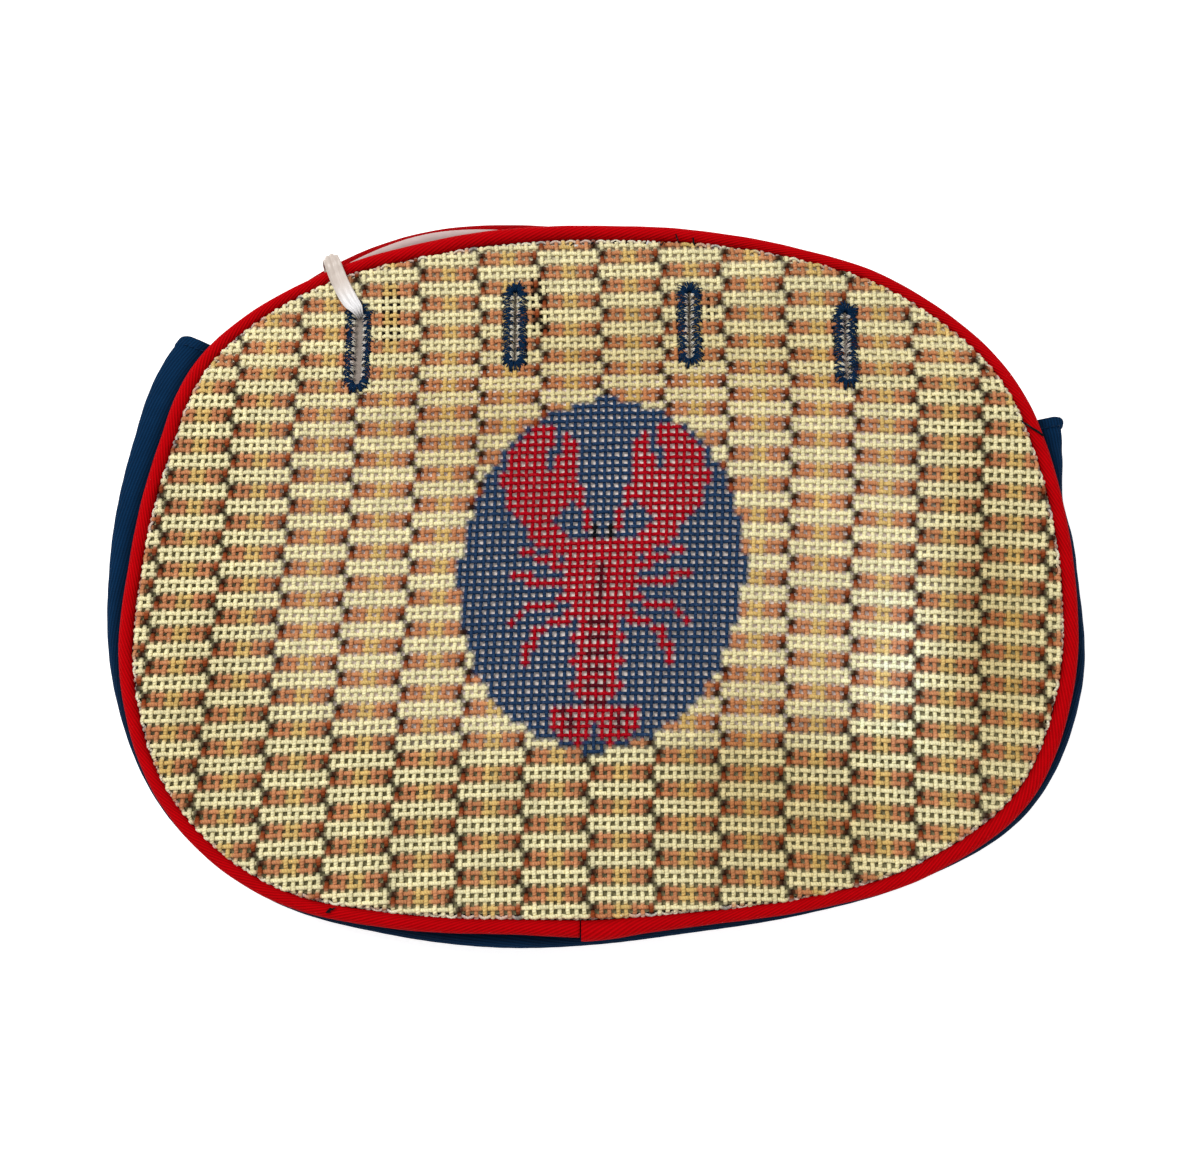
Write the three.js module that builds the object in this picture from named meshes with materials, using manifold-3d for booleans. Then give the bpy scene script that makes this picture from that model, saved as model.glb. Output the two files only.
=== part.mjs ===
// Needlepoint bag cover: a flat oval pouch that buttons over a handbag, lying on its back.
//
// A front of painted canvas and a back of twill, each edged with piping, are joined round the
// sides and the bottom by a narrow gusset and stay open along the top, where four buttonholes
// run down the front. Units are millimetres. X runs to the right of the front, Y towards the
// mouth and Z up. The origin is at the middle of the bounding box's underside.
import * as THREE from 'three';
import { mergeVertices } from 'three/addons/utils/BufferGeometryUtils.js';
import Module from 'manifold-3d';

const wasm = await Module();
wasm.setup();

// Cloth and cord
const CLOTH = 1.0; // thickness of every cloth layer
const GAP = 0.3; // clearance between pieces that touch
const PIPING_RADIUS = 2.0;
const PIPING_DROP = 1.6; // the front piping's centre lies this far below the canvas's face
const LAP_STEP = 0.8; // how far the piping's upper end stands out over its lower end
const LAP_FADE = 4; // the step dies away over this many degrees
const LAP_ANGLE = 267; // where the front piping's two ends meet, degrees
const BACK_LAP_ANGLE = 262;
const LAP_SLACK = 0.2; // half the clearance between the two ends, degrees
const GUSSET_WIDTH = 22; // finished width of the strip between its two seams
const SEAM_GAP = 0.5; // clearance between the pipings and the cloth sewn to them
const GUSSET_HEM = 2.6; // depth of the hem at each end
const HEM_LAYERS = 1.2; // the hem's thickness in layers, pressed flat
const HEM_FADE = 1.2; // the cloth is single again at this many hem depths from the end
const GUSSET_START = 17.5; // right end, degrees
const GUSSET_END = -209; // left end, degrees, reached past the bottom

// Height of the canvas's upper face above the surface
const MOUTH_LEVEL = 13;
const BODY_LEVEL = 20;
const SLOPE_TOP = 66; // y where the slope down to the mouth ends
const SLOPE_FOOT = 34; // y where it starts

// Layers below the canvas's face, and the back panel's layers above the surface
const LINING_DROP = CLOTH + GAP;
const BACK_LINING_BASE = CLOTH + GAP;

// One row every 15 degrees, anticlockwise from +X. front and back are the radii of the two
// pipings' outer sides, rise is how far the front's rim stands above its level, and fold is how
// far the gusset's outer fold stands out past the front.
const EDGE = [
  { front: 116.0, back: 115.5, rise: 0.6, fold: 3.2 },
  { front: 115.0, back: 114.0, rise: 0.4, fold: 5.4 },
  { front: 114.5, back: 113.5, rise: 0.0, fold: 8.5 },
  { front: 107.5, back: 107.5, rise: 0.0, fold: 4.0 },
  { front: 98.5, back: 99.5, rise: 0.0, fold: 4.0 },
  { front: 93.0, back: 94.5, rise: 0.0, fold: 4.0 },
  { front: 91.0, back: 94.0, rise: 0.0, fold: 4.0 },
  { front: 93.3, back: 98.4, rise: 0.0, fold: 4.0 },
  { front: 98.8, back: 104.6, rise: 0.0, fold: 4.0 },
  { front: 107.5, back: 111.5, rise: 0.0, fold: 6.0 },
  { front: 115.5, back: 116.5, rise: 0.4, fold: 8.6 },
  { front: 114.0, back: 114.5, rise: 1.0, fold: 8.2 },
  { front: 115.5, back: 115.0, rise: 1.4, fold: 6.6 },
  { front: 120.0, back: 118.5, rise: 1.2, fold: 3.6 },
  { front: 120.5, back: 118.0, rise: 0.8, fold: 1.9 },
  { front: 114.0, back: 112.0, rise: 0.3, fold: 1.5 },
  { front: 102.0, back: 101.0, rise: 0.0, fold: 2.7 },
  { front: 93.0, back: 92.0, rise: 0.0, fold: 3.6 },
  { front: 90.5, back: 89.5, rise: 0.0, fold: 2.0 },
  { front: 91.0, back: 90.0, rise: 0.0, fold: 1.6 },
  { front: 97.5, back: 96.5, rise: 0.2, fold: 1.5 },
  { front: 108.5, back: 107.0, rise: 0.5, fold: 1.7 },
  { front: 118.0, back: 116.5, rise: 0.8, fold: 3.3 },
  { front: 118.5, back: 117.5, rise: 0.8, fold: 4.4 },
];
const ROW_STEP = 360 / EDGE.length;
const TANGENT_STEP = 0.5; // the edge's direction is taken between points this far off, degrees

// Facets: sections round the panels, along the two pipings and along the gusset
const FACE_STEPS = 45;
const FRONT_PIPING_STEPS = 66;
const BACK_PIPING_STEPS = 46;
const PIPING_SIDES = 8;
const GUSSET_STEPS = 56;
const GUSSET_ROWS = 7;
const HOLE_SIDES = 16;
const HOLE_MIDDLES = 3; // extra sections along each straight side of a buttonhole

// Soft hollows and swells of the canvas between its rims
const SWELLS = [
  { x: -46, y: -6, across: 34, along: 52, height: -2.2 }, // hollow left of the middle
  { x: 27, y: -8, across: 26, along: 46, height: 1.0 }, // swell right of the middle
  { x: 74, y: -8, across: 20, along: 44, height: -1.2 }, // hollow near the right rim
];

// The four buttonholes, numbered from the left: centre and half the length of the stitching
const BUTTONHOLES = [
  { x: -62.2, y: 56.6, half: 12.9, turn: 2, slit: 1.25 },
  { x: -22.1, y: 62.6, half: 12.4, turn: 0.5, slit: 0.55 },
  { x: 22.9, y: 62.6, half: 12.4, turn: -0.5, slit: 0.55 },
  { x: 62.9, y: 56.8, half: 11.9, turn: -2.5, slit: 0.55 },
];
const STITCH_WIDTH = 1.6; // the bound edge, from the slit outwards
const STITCH_PROUD = 0.35; // how far the stitching stands above the canvas and below the lining
const STITCH_ROUND = 0.3; // how far its upper face falls away to both sides

// The front panel's rim, turned down beside the piping, and the rings of its face
const CANVAS_EDGE = 2 * PIPING_RADIUS + SEAM_GAP; // inset of the canvas's outer side
const RIM_DEPTH = 2.4; // the canvas turns down this far
const RIM_ROUND = [{ inset: 1.6, drop: 0 }, { inset: 0.6, drop: 0.25 }, { inset: 0, drop: 1 }];
const RIM_FILLET = 0.2; // how far the inner corner of the rim lies under the canvas's lower face
const LINING_EDGE = CANVAS_EDGE + CLOTH + GAP;
const LINING_FALL = 0.3; // how far the lining's edge falls below its face
const FACE_EDGE = LINING_EDGE + 1.5; // both layers share their rings inside this inset
const FACE_SHARES = [0.02, 0.22, 0.4, 0.55, 0.68, 0.8, 0.91, 1]; // of the way to the face's edge
const BACK_EDGE = CANVAS_EDGE + GAP; // inset of the back panel's edge

// The gusset between its front and back seams, where the section isn't at a seam: the distance
// from the outer fold inwards and the share of the height from the back seam up
const OUTER_FOLD = [{ inside: 1, share: 0.86 }, { inside: 0.4, share: 0.62 }];
const TUCK_SHARE = 0.3; // the height of the inward tuck, as the same share
const TUCK_RANGE = [-1, 12]; // the tuck's depth lies between these
const TUCK_PASSES = 20; // halvings of that range

const COLOURS = {
  canvas: 0xe6cf9a,
  liningCloth: 0xcdbcb8,
  redTwill: 0xb5070f,
  navyTwill: 0x1d3c66,
  navyThread: 0x17345c,
  satin: 0xe8e4df,
};
const ROUGHNESS = { canvas: 0.9, liningCloth: 0.85, redTwill: 0.8, navyTwill: 0.9, navyThread: 0.8, satin: 0.4 };

// The ribbon: up through the first slit, over the canvas and the piping, and back inside. along
// is the distance from the slit towards the mouth's edge and lift the height over the canvas.
const RIBBON_SLIT = new THREE.Vector2(-62.6, 64.4);
const RIBBON_OUTERMOST = new THREE.Vector2(-70.1, 81.6);
const RIBBON_THICK = 1.0;
const RIBBON_PATH = [
  { along: 0.0, lift: -5.0, width: 1.5 },
  { along: 0.0, lift: -2.0, width: 1.5 },
  { along: 0.0, lift: 0.7, width: 1.4 },
  { along: 1.5, lift: 1.8, width: 2.0 },
  { along: 5.0, lift: 1.6, width: 4.0 },
  { along: 9.5, lift: 1.4, width: 4.4 },
  { along: 13.5, lift: 1.5, width: 4.4 },
  { along: 16.6, lift: 0.8, width: 4.4 },
  { along: 17.8, lift: -1.4, width: 4.4 },
  { along: 16.4, lift: -3.8, width: 4.4 },
  { along: 13.0, lift: -4.7, width: 4.4 },
  { along: 8.0, lift: -4.3, width: 4.4 },
  { along: 3.0, lift: -3.9, width: 4.0 },
];

const radians = THREE.MathUtils.degToRad;

// A column of EDGE at any angle, by a cubic through its rows
function around(column, angle) {
  const at = THREE.MathUtils.euclideanModulo(angle, 360) / ROW_STEP;
  const row = Math.floor(at);
  const value = (k) => EDGE[(row + k + EDGE.length) % EDGE.length][column];
  const t = at - row;
  const slopeIn = (value(1) - value(-1)) / 2;
  const slopeOut = (value(2) - value(0)) / 2;
  const rise = value(1) - value(0);
  return value(0) + t * (slopeIn + t * (3 * rise - 2 * slopeIn - slopeOut
    + t * (slopeIn + slopeOut - 2 * rise)));
}

// A point on the edge of the front or back, moved inwards by inset along the edge's normal
function edgePoint(panel, angle, inset = 0) {
  const at = (a) => {
    const r = around(panel, a);
    return new THREE.Vector2(r * Math.cos(radians(a)), r * Math.sin(radians(a)));
  };
  const along = at(angle + TANGENT_STEP).sub(at(angle - TANGENT_STEP)).normalize();
  return at(angle).add(new THREE.Vector2(-along.y, along.x).multiplyScalar(inset));
}

const smooth = (t) => {
  const s = THREE.MathUtils.clamp(t, 0, 1);
  return s * s * (3 - 2 * s);
};

// Height of the canvas's upper face
function frontLevel(x, y) {
  const angle = THREE.MathUtils.radToDeg(Math.atan2(y, x));
  const out = Math.min(Math.hypot(x, y) / around('front', angle), 1);
  let z = BODY_LEVEL - (BODY_LEVEL - MOUTH_LEVEL) * smooth((y - SLOPE_FOOT) / (SLOPE_TOP - SLOPE_FOOT));
  z += around('rise', angle) * out ** 4;
  for (const s of SWELLS) {
    z += s.height * Math.exp(-(((x - s.x) / s.across) ** 2) - ((y - s.y) / s.along) ** 2);
  }
  return z;
}

// A closed solid from rings of points, all of one length: ring after ring joined by quads, then
// closed on itself or capped. From the ring numbered turnBack on, the quads are split along
// their other diagonal, so that a panel's upper and lower faces have the same facets.
function solidFromRings(rings, { loop = false, turnBack = rings.length } = {}) {
  const positions = [];
  const faces = [];
  const n = rings[0].length;
  for (const ring of rings) for (const p of ring) positions.push(p.x, p.y, p.z);
  const id = (ring, k) => ring * n + (k % n);
  const count = loop ? rings.length : rings.length - 1;
  for (let i = 0; i < count; i++) {
    const j = (i + 1) % rings.length;
    for (let k = 0; k < n; k++) {
      const [a, b, c, d] = [id(i, k), id(j, k), id(j, k + 1), id(i, k + 1)];
      if (i < turnBack) faces.push(a, b, c, a, c, d);
      else faces.push(a, b, d, b, c, d);
    }
  }
  const cap = (ring, flip) => {
    const centre = new THREE.Vector3();
    for (const p of rings[ring]) centre.addScaledVector(p, 1 / n);
    const middle = positions.length / 3;
    positions.push(centre.x, centre.y, centre.z);
    for (let k = 0; k < n; k++) {
      faces.push(...(flip ? [middle, id(ring, k), id(ring, k + 1)] : [middle, id(ring, k + 1), id(ring, k)]));
    }
  };
  if (!loop) {
    cap(0, true);
    cap(rings.length - 1, false);
  }
  const geometry = new THREE.BufferGeometry();
  geometry.setAttribute('position', new THREE.Float32BufferAttribute(positions, 3));
  geometry.setIndex(faces);
  return facingOut(geometry);
}

// Turns every face over where the solid's signed volume is negative
function facingOut(geometry) {
  const p = geometry.getAttribute('position');
  const index = Array.from(geometry.getIndex().array);
  const corner = (k) => new THREE.Vector3().fromBufferAttribute(p, k);
  let volume = 0;
  for (let f = 0; f < index.length; f += 3) {
    const [a, b, c] = [corner(index[f]), corner(index[f + 1]), corner(index[f + 2])];
    volume += a.dot(b.cross(c));
  }
  if (volume < 0) {
    for (let f = 0; f < index.length; f += 3) [index[f], index[f + 1]] = [index[f + 1], index[f]];
  }
  geometry.setIndex(index);
  geometry.computeVertexNormals();
  return geometry;
}

// A panel: its section from the middle of the upper face, over the rim, to the middle of the
// lower face, carried all the way round. Each row has share, the distance from the middle as a
// share of the outline, or inset, the distance in from the piping's outer side, and z.
function panel(edge, section, level) {
  const rings = section.map(({ share = 1, inset, z }) => {
    const ring = [];
    for (let k = 0; k < FACE_STEPS; k++) {
      const flat = edgePoint(edge, (360 / FACE_STEPS) * k, inset).multiplyScalar(share);
      ring.push(new THREE.Vector3(flat.x, flat.y, level(flat.x, flat.y) + z));
    }
    return ring;
  });
  return solidFromRings(rings, { turnBack: rings.length / 2 });
}

// A round cord all the way round an edge, with an open lap at one angle between its two ends
function piping(edge, lapAngle, steps, centreHeight) {
  const fromAngle = lapAngle + LAP_SLACK;
  const toAngle = lapAngle + 360 - LAP_SLACK;
  const corner = Math.cos(Math.PI / PIPING_SIDES); // the cord's sides, not its corners, lie at its radius
  const rings = [];
  for (let i = 0; i <= steps; i++) {
    const angle = THREE.MathUtils.lerp(fromAngle, toAngle, i / steps);
    const proud = LAP_STEP * smooth(1 - (angle - fromAngle) / LAP_FADE);
    const centre = edgePoint(edge, angle, PIPING_RADIUS - proud);
    const inwards = edgePoint(edge, angle, PIPING_RADIUS + 1).sub(edgePoint(edge, angle, PIPING_RADIUS));
    const height = centreHeight(centre.x, centre.y);
    const ring = [];
    for (let k = 0; k < PIPING_SIDES; k++) {
      const turn = (2 * Math.PI * (k + 0.5)) / PIPING_SIDES;
      const reach = (PIPING_RADIUS * Math.cos(turn)) / corner;
      const lift = (PIPING_RADIUS * Math.sin(turn)) / corner;
      const flat = centre.clone().addScaledVector(inwards, reach);
      ring.push(new THREE.Vector3(flat.x, flat.y, height + lift));
    }
    rings.push(ring);
  }
  return solidFromRings(rings);
}

// The front panel's two layers: rings over the face, round the rim and back under the face
const faceRings = (z) => FACE_SHARES.map((share) => ({ share, inset: FACE_EDGE, z }));
const canvasSection = [
  ...faceRings(0),
  ...RIM_ROUND.map(({ inset, drop }) => ({ inset: CANVAS_EDGE + inset, z: -drop })),
  { inset: CANVAS_EDGE, z: -RIM_DEPTH },
  { inset: CANVAS_EDGE + CLOTH, z: -RIM_DEPTH },
  { inset: CANVAS_EDGE + CLOTH, z: -CLOTH - RIM_FILLET },
  ...faceRings(-CLOTH).toReversed(),
];
const liningSection = [
  ...faceRings(-LINING_DROP),
  { inset: LINING_EDGE, z: -LINING_DROP - LINING_FALL },
  { inset: LINING_EDGE, z: -LINING_DROP - CLOTH },
  ...faceRings(-LINING_DROP - CLOTH).toReversed(),
];

// The back panel's two layers lie flat
const flatSection = (inset, top, base) => [
  { share: FACE_SHARES[0], inset, z: top },
  { inset, z: top },
  { inset, z: base },
  { share: FACE_SHARES[0], inset, z: base },
];

// A solid for cutting and joining
function toManifold(geometry) {
  const bare = geometry.clone();
  bare.deleteAttribute('normal');
  bare.deleteAttribute('uv');
  const merged = mergeVertices(bare);
  return new wasm.Manifold(new wasm.Mesh({
    numProp: 3,
    vertProperties: new Float32Array(merged.getAttribute('position').array),
    triVerts: new Uint32Array(merged.getIndex().array),
  }));
}

function toGeometry(solid) {
  const mesh = solid.getMesh();
  const geometry = new THREE.BufferGeometry();
  geometry.setAttribute('position', new THREE.Float32BufferAttribute(Array.from(mesh.vertProperties), 3));
  geometry.setIndex(Array.from(mesh.triVerts));
  geometry.computeVertexNormals();
  return geometry;
}

// A point of a buttonhole's oval at a distance from the slit's edge, in the panel's plane
function buttonholePoint(hole, out, turn) {
  const width = hole.slit + out;
  const straight = hole.half - STITCH_WIDTH - hole.slit;
  const local = new THREE.Vector2(
    width * Math.cos(turn),
    width * Math.sin(turn) + Math.sign(Math.sin(turn)) * straight,
  );
  local.rotateAround(new THREE.Vector2(), radians(hole.turn));
  return local.add(new THREE.Vector2(hole.x, hole.y));
}

const holeTurns = Array.from({ length: HOLE_SIDES }, (_, k) => (2 * Math.PI * (k + 0.5)) / HOLE_SIDES);

// An upright plug that cuts a buttonhole through a panel
function buttonholeCutter(hole) {
  const outline = new THREE.Shape(holeTurns.map((turn) => buttonholePoint(hole, STITCH_WIDTH + GAP, turn)));
  const depth = 2 * BODY_LEVEL; // well past the canvas's highest point
  return toManifold(new THREE.ExtrudeGeometry(outline, { depth, bevelEnabled: false }));
}

function cutButtonholes(geometry) {
  let solid = toManifold(geometry);
  for (const hole of BUTTONHOLES) solid = solid.subtract(buttonholeCutter(hole));
  return toGeometry(solid);
}

// The stitched ring round a slit, through the canvas and the lining
function buttonholeStitching(hole) {
  const top = STITCH_PROUD;
  const base = -LINING_DROP - CLOTH - STITCH_PROUD;
  const loops = [
    { out: 0, z: top - STITCH_ROUND },
    { out: STITCH_WIDTH / 2, z: top },
    { out: STITCH_WIDTH, z: top - STITCH_ROUND },
    { out: STITCH_WIDTH, z: base },
    { out: 0, z: base },
  ];
  const stations = []; // with extra ones along the straight sides, so the ring follows the slope
  for (let k = 0; k < HOLE_SIDES; k++) {
    stations.push({ turn: holeTurns[k], share: 1 });
    if (k === HOLE_SIDES / 2 - 1 || k === HOLE_SIDES - 1) {
      const next = (k + 1) % HOLE_SIDES;
      for (let m = 1; m <= HOLE_MIDDLES; m++) {
        stations.push({ turn: holeTurns[k], to: holeTurns[next], share: 1 - m / (HOLE_MIDDLES + 1) });
      }
    }
  }
  const rings = stations.map(({ turn, to, share }) => loops.map(({ out, z }) => {
    const flat = buttonholePoint(hole, out, turn);
    if (to !== undefined) flat.lerp(buttonholePoint(hole, out, to), 1 - share);
    return new THREE.Vector3(flat.x, flat.y, frontLevel(flat.x, flat.y) + z);
  }));
  return solidFromRings(rings, { loop: true });
}

// The gusset's section at an angle: from the front's seam out to its fold, in to its tuck and
// down to the back's seam. The tuck takes up what is left of the strip's width.
function gussetSection(angle) {
  const seam = -PIPING_RADIUS; // both seams lie under the middle of the piping
  const rim = edgePoint('front', angle, PIPING_RADIUS);
  const top = frontLevel(rim.x, rim.y) - PIPING_DROP - PIPING_RADIUS - SEAM_GAP - (CLOTH * HEM_LAYERS) / 2;
  const base = 2 * PIPING_RADIUS + SEAM_GAP + CLOTH / 2;
  const fold = around('fold', angle);
  const height = (share) => THREE.MathUtils.lerp(base, top, share);
  const curve = (tuck) => new THREE.CatmullRomCurve3([
    new THREE.Vector3(seam, height(1), 0),
    ...OUTER_FOLD.map(({ inside, share }) => new THREE.Vector3(fold - inside, height(share), 0)),
    new THREE.Vector3(-tuck, height(TUCK_SHARE), 0),
    new THREE.Vector3(seam, height(0), 0),
  ], false, 'centripetal');
  let [low, high] = TUCK_RANGE;
  for (let pass = 0; pass < TUCK_PASSES; pass++) {
    const middle = (low + high) / 2;
    if (curve(middle).getLength() < GUSSET_WIDTH) low = middle;
    else high = middle;
  }
  return curve(low).getPoints(GUSSET_ROWS);
}

function gusset() {
  const hemmed = [0, 1].map((end) => {
    const at = end ? GUSSET_END : GUSSET_START;
    const back = (end ? 1 : -1) * THREE.MathUtils.radToDeg(GUSSET_HEM / around('front', at));
    return [{ angle: at, layers: HEM_LAYERS }, { angle: at + back, layers: HEM_LAYERS },
      { angle: at + HEM_FADE * back, layers: 1 }];
  });
  const stations = [...hemmed[0]];
  for (let i = 1; i < GUSSET_STEPS; i++) {
    stations.push({ angle: THREE.MathUtils.lerp(GUSSET_START, GUSSET_END, i / GUSSET_STEPS), layers: 1 });
  }
  stations.push(...hemmed[1].toReversed());
  const rings = stations.map(({ angle, layers }) => {
    const section = gussetSection(angle);
    const thick = (CLOTH * layers) / 2;
    const outer = [];
    const inner = [];
    section.forEach((p, k) => {
      const before = section[Math.max(k - 1, 0)];
      const after = section[Math.min(k + 1, section.length - 1)];
      const side = new THREE.Vector2(after.y - before.y, before.x - after.x).normalize();
      const place = (s) => {
        const flat = edgePoint('front', angle, -(p.x + side.x * s));
        return new THREE.Vector3(flat.x, flat.y, p.y + side.y * s);
      };
      outer.push(place(thick));
      inner.unshift(place(-thick));
    });
    return [...outer, ...inner];
  });
  return solidFromRings(rings);
}

// The ribbon's flat section carried along its path
function ribbon() {
  const direction = RIBBON_OUTERMOST.clone().sub(RIBBON_SLIT).normalize();
  const across = new THREE.Vector3(direction.y, -direction.x, 0);
  const place = ({ along, lift }) => {
    const flat = RIBBON_SLIT.clone().addScaledVector(direction, along);
    return new THREE.Vector3(flat.x, flat.y, frontLevel(flat.x, flat.y) + lift);
  };
  const curve = new THREE.CatmullRomCurve3(RIBBON_PATH.map(place), false, 'centripetal');
  const steps = 3 * (RIBBON_PATH.length - 1);
  const rings = [];
  for (let i = 0; i <= steps; i++) {
    const t = i / steps;
    const centre = curve.getPoint(t);
    const row = Math.min(Math.floor(t * (RIBBON_PATH.length - 1)), RIBBON_PATH.length - 2);
    const share = t * (RIBBON_PATH.length - 1) - row;
    const width = THREE.MathUtils.lerp(RIBBON_PATH[row].width, RIBBON_PATH[row + 1].width, share);
    const up = new THREE.Vector3().crossVectors(across, curve.getTangent(t)).normalize();
    rings.push([[-1, -1], [1, -1], [1, 1], [-1, 1]].map(([side, face]) => centre.clone()
      .addScaledVector(across, (side * width) / 2)
      .addScaledVector(up, (face * RIBBON_THICK) / 2)));
  }
  return solidFromRings(rings);
}

const group = new THREE.Group();
const cover = new THREE.Group();
group.add(cover);

function add(name, geometry, material) {
  const mesh = new THREE.Mesh(geometry, new THREE.MeshStandardMaterial({
    color: COLOURS[material],
    roughness: ROUGHNESS[material],
    metalness: 0,
  }));
  mesh.name = name;
  cover.add(mesh);
}

const ground = () => 0;
const backPanelSection = flatSection(BACK_EDGE, CLOTH, 0);
const backLiningSection = flatSection(LINING_EDGE, BACK_LINING_BASE + CLOTH, BACK_LINING_BASE);
add('back_panel', panel('back', backPanelSection, ground), 'navyTwill');
add('back_lining', panel('back', backLiningSection, ground), 'liningCloth');
add('back_piping', piping('back', BACK_LAP_ANGLE, BACK_PIPING_STEPS, () => PIPING_RADIUS), 'redTwill');
add('front_canvas', cutButtonholes(panel('front', canvasSection, frontLevel)), 'canvas');
add('front_lining', cutButtonholes(panel('front', liningSection, frontLevel)), 'liningCloth');
add('front_piping', piping('front', LAP_ANGLE, FRONT_PIPING_STEPS, (x, y) => frontLevel(x, y) - PIPING_DROP),
  'redTwill');
add('gusset', gusset(), 'navyTwill');
BUTTONHOLES.forEach((hole, k) => add(`buttonhole_${k + 1}`, buttonholeStitching(hole), 'navyThread'));
add('ribbon_loop', ribbon(), 'satin');

// Stand the finished cover on the origin
const box = new THREE.Box3().setFromObject(cover);
const middle = box.getCenter(new THREE.Vector3());
cover.position.set(-middle.x, -middle.y, -box.min.z);

export default group;
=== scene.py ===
# %% [markdown]
# # A needlepoint bag cover
# The cover is a flat oval pouch that buttons over a handbag. Its front is painted needlepoint
# canvas that nobody has stitched yet, so it is an open mesh with the lining showing through.
# Red piping edges it, a navy gusset joins it to the back, and a ribbon loops over the mouth.
# Each step below builds one of these from cloth or thread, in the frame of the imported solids.

import math

import bpy
import numpy as np
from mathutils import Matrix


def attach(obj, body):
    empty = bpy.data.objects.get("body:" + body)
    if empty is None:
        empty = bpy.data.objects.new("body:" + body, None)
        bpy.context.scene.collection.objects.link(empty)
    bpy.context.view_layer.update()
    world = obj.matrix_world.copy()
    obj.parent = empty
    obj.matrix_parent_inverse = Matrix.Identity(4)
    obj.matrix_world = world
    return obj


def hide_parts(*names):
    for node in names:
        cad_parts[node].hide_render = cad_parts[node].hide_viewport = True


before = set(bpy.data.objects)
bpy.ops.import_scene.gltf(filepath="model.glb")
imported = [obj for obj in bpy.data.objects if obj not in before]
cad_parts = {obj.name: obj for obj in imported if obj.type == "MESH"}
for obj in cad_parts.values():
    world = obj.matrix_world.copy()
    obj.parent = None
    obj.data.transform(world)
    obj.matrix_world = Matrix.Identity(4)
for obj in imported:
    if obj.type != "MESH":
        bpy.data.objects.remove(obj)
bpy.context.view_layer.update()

# %% [markdown]
# ## The camera
# The photographer stood at the cover's lower edge and looked down, about 11 degrees off the
# vertical. A camera can be turned by angles or aimed at a point. Aiming is easier to check, so
# the camera is placed at a distance and an elevation from the point in the picture's middle.
# Everything in this file is worked out in millimetres and only becomes metres in the meshes.

# %% The camera
MM = 0.001
ELEVATION = 78.8  # degrees above the table, seen from -Y
DISTANCE = 358.0
AIM = np.array([0.90, -6.10, 18.0])
LENS = 43.7  # on Blender's sensor of 36 mm, which spans the picture's long side

tilt = math.radians(ELEVATION)
eye = AIM + DISTANCE * np.array([0.0, -math.cos(tilt), math.sin(tilt)])
camera_data = bpy.data.cameras.new("camera")
camera_data.lens = LENS
camera_data.clip_start = 0.01
camera = bpy.data.objects.new("camera", camera_data)
camera.location = eye * MM
camera.rotation_euler = (math.pi / 2 - tilt, 0.0, 0.0)
bpy.context.scene.collection.objects.link(camera)
bpy.context.scene.camera = camera
print("camera at", np.round(eye, 1), "mm")

# %% [markdown]
# ## The outline and the height of the front
# All pieces follow the same oval and lie at the same heights as the solids, so the shape is
# written once, as a short table like the one that the solids came from. A row every 15 degrees
# gives the two pipings' outer radii, the rise of the front's rim, the reach of the gusset's fold
# and how far inside the front piping's outer edge the canvas turns down.
# A smooth curve through the rows gives any angle between them. Numpy works on whole arrays of
# points at a time, which keeps a cloth of many thousand threads quick to lay out.

# %% The outline
MIDDLE = np.array([1.0857, -0.6775, 0.0])  # the outline's centre, seen from the frame's origin
PIPING_RADIUS = 2.0
PIPING_DROP = 1.6  # the front piping's centre lies this far below the canvas's face

EDGE = np.array([
    # front, back, rise, fold, canvas
    (116.0, 115.5, 0.6, 2.4, 3.8), (115.0, 114.0, 0.4, 5.6, 3.8), (114.5, 113.5, 0.0, 17.0, 3.5),
    (107.5, 107.5, 0.0, 4.0, 3.2), (98.5, 99.5, 0.0, 4.0, 3.4), (93.0, 94.5, 0.0, 4.0, 4.1),
    (91.0, 93.8, 0.0, 4.0, 4.5), (93.3, 98.0, 0.0, 4.0, 4.6), (98.8, 104.6, 0.0, 4.0, 4.2),
    (107.5, 111.5, 0.0, 6.0, 3.3), (115.5, 116.5, 0.4, 8.4, 4.0), (114.0, 114.5, 1.0, 8.0, 3.9),
    (115.5, 115.0, 1.4, 6.4, 3.7), (120.0, 118.5, 1.2, 3.1, 3.8), (120.5, 118.0, 0.8, 1.1, 3.3),
    (114.0, 112.0, 0.3, 0.3, 3.3), (102.0, 101.0, 0.0, 1.3, 3.9), (93.0, 92.0, 0.0, 3.0, 3.8),
    (90.5, 89.5, 0.0, 1.5, 4.4), (91.0, 90.0, 0.0, 1.2, 3.6), (97.5, 96.5, 0.2, 0.6, 3.1),
    (108.5, 107.0, 0.5, 0.2, 3.9), (118.0, 116.5, 0.8, 2.0, 4.2), (118.5, 117.5, 0.8, 3.2, 4.1),
])
FRONT, BACK, RISE, FOLD, CANVAS = EDGE.T


def around(column, degrees):
    """The value of a column at any angle, on a smooth closed curve through its rows."""
    at = np.mod(degrees, 360) / 360 * len(column)
    row = np.floor(at).astype(int)
    t = at - row
    before, here, after, beyond = (column[(row + k) % len(column)] for k in (-1, 0, 1, 2))
    slope_in, slope_out, step = (after - before) / 2, (beyond - here) / 2, after - here
    bend = slope_in + slope_out - 2 * step
    return here + t * (slope_in + t * (3 * step - 2 * slope_in - slope_out + t * bend))


def outline(column, degrees, inset=0.0):
    """Points on the outline, moved inwards by inset, and the directions that face outwards."""
    def point(a):
        r = around(column, a)
        return np.stack([r * np.cos(np.radians(a)), r * np.sin(np.radians(a))], -1)

    degrees = np.asarray(degrees, float)
    along = point(degrees + 0.5) - point(degrees - 0.5)
    along /= np.linalg.norm(along, axis=-1, keepdims=True)
    outward = np.stack([along[..., 1], -along[..., 0]], -1)
    return point(degrees) - outward * np.asarray(inset)[..., None], outward


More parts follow.
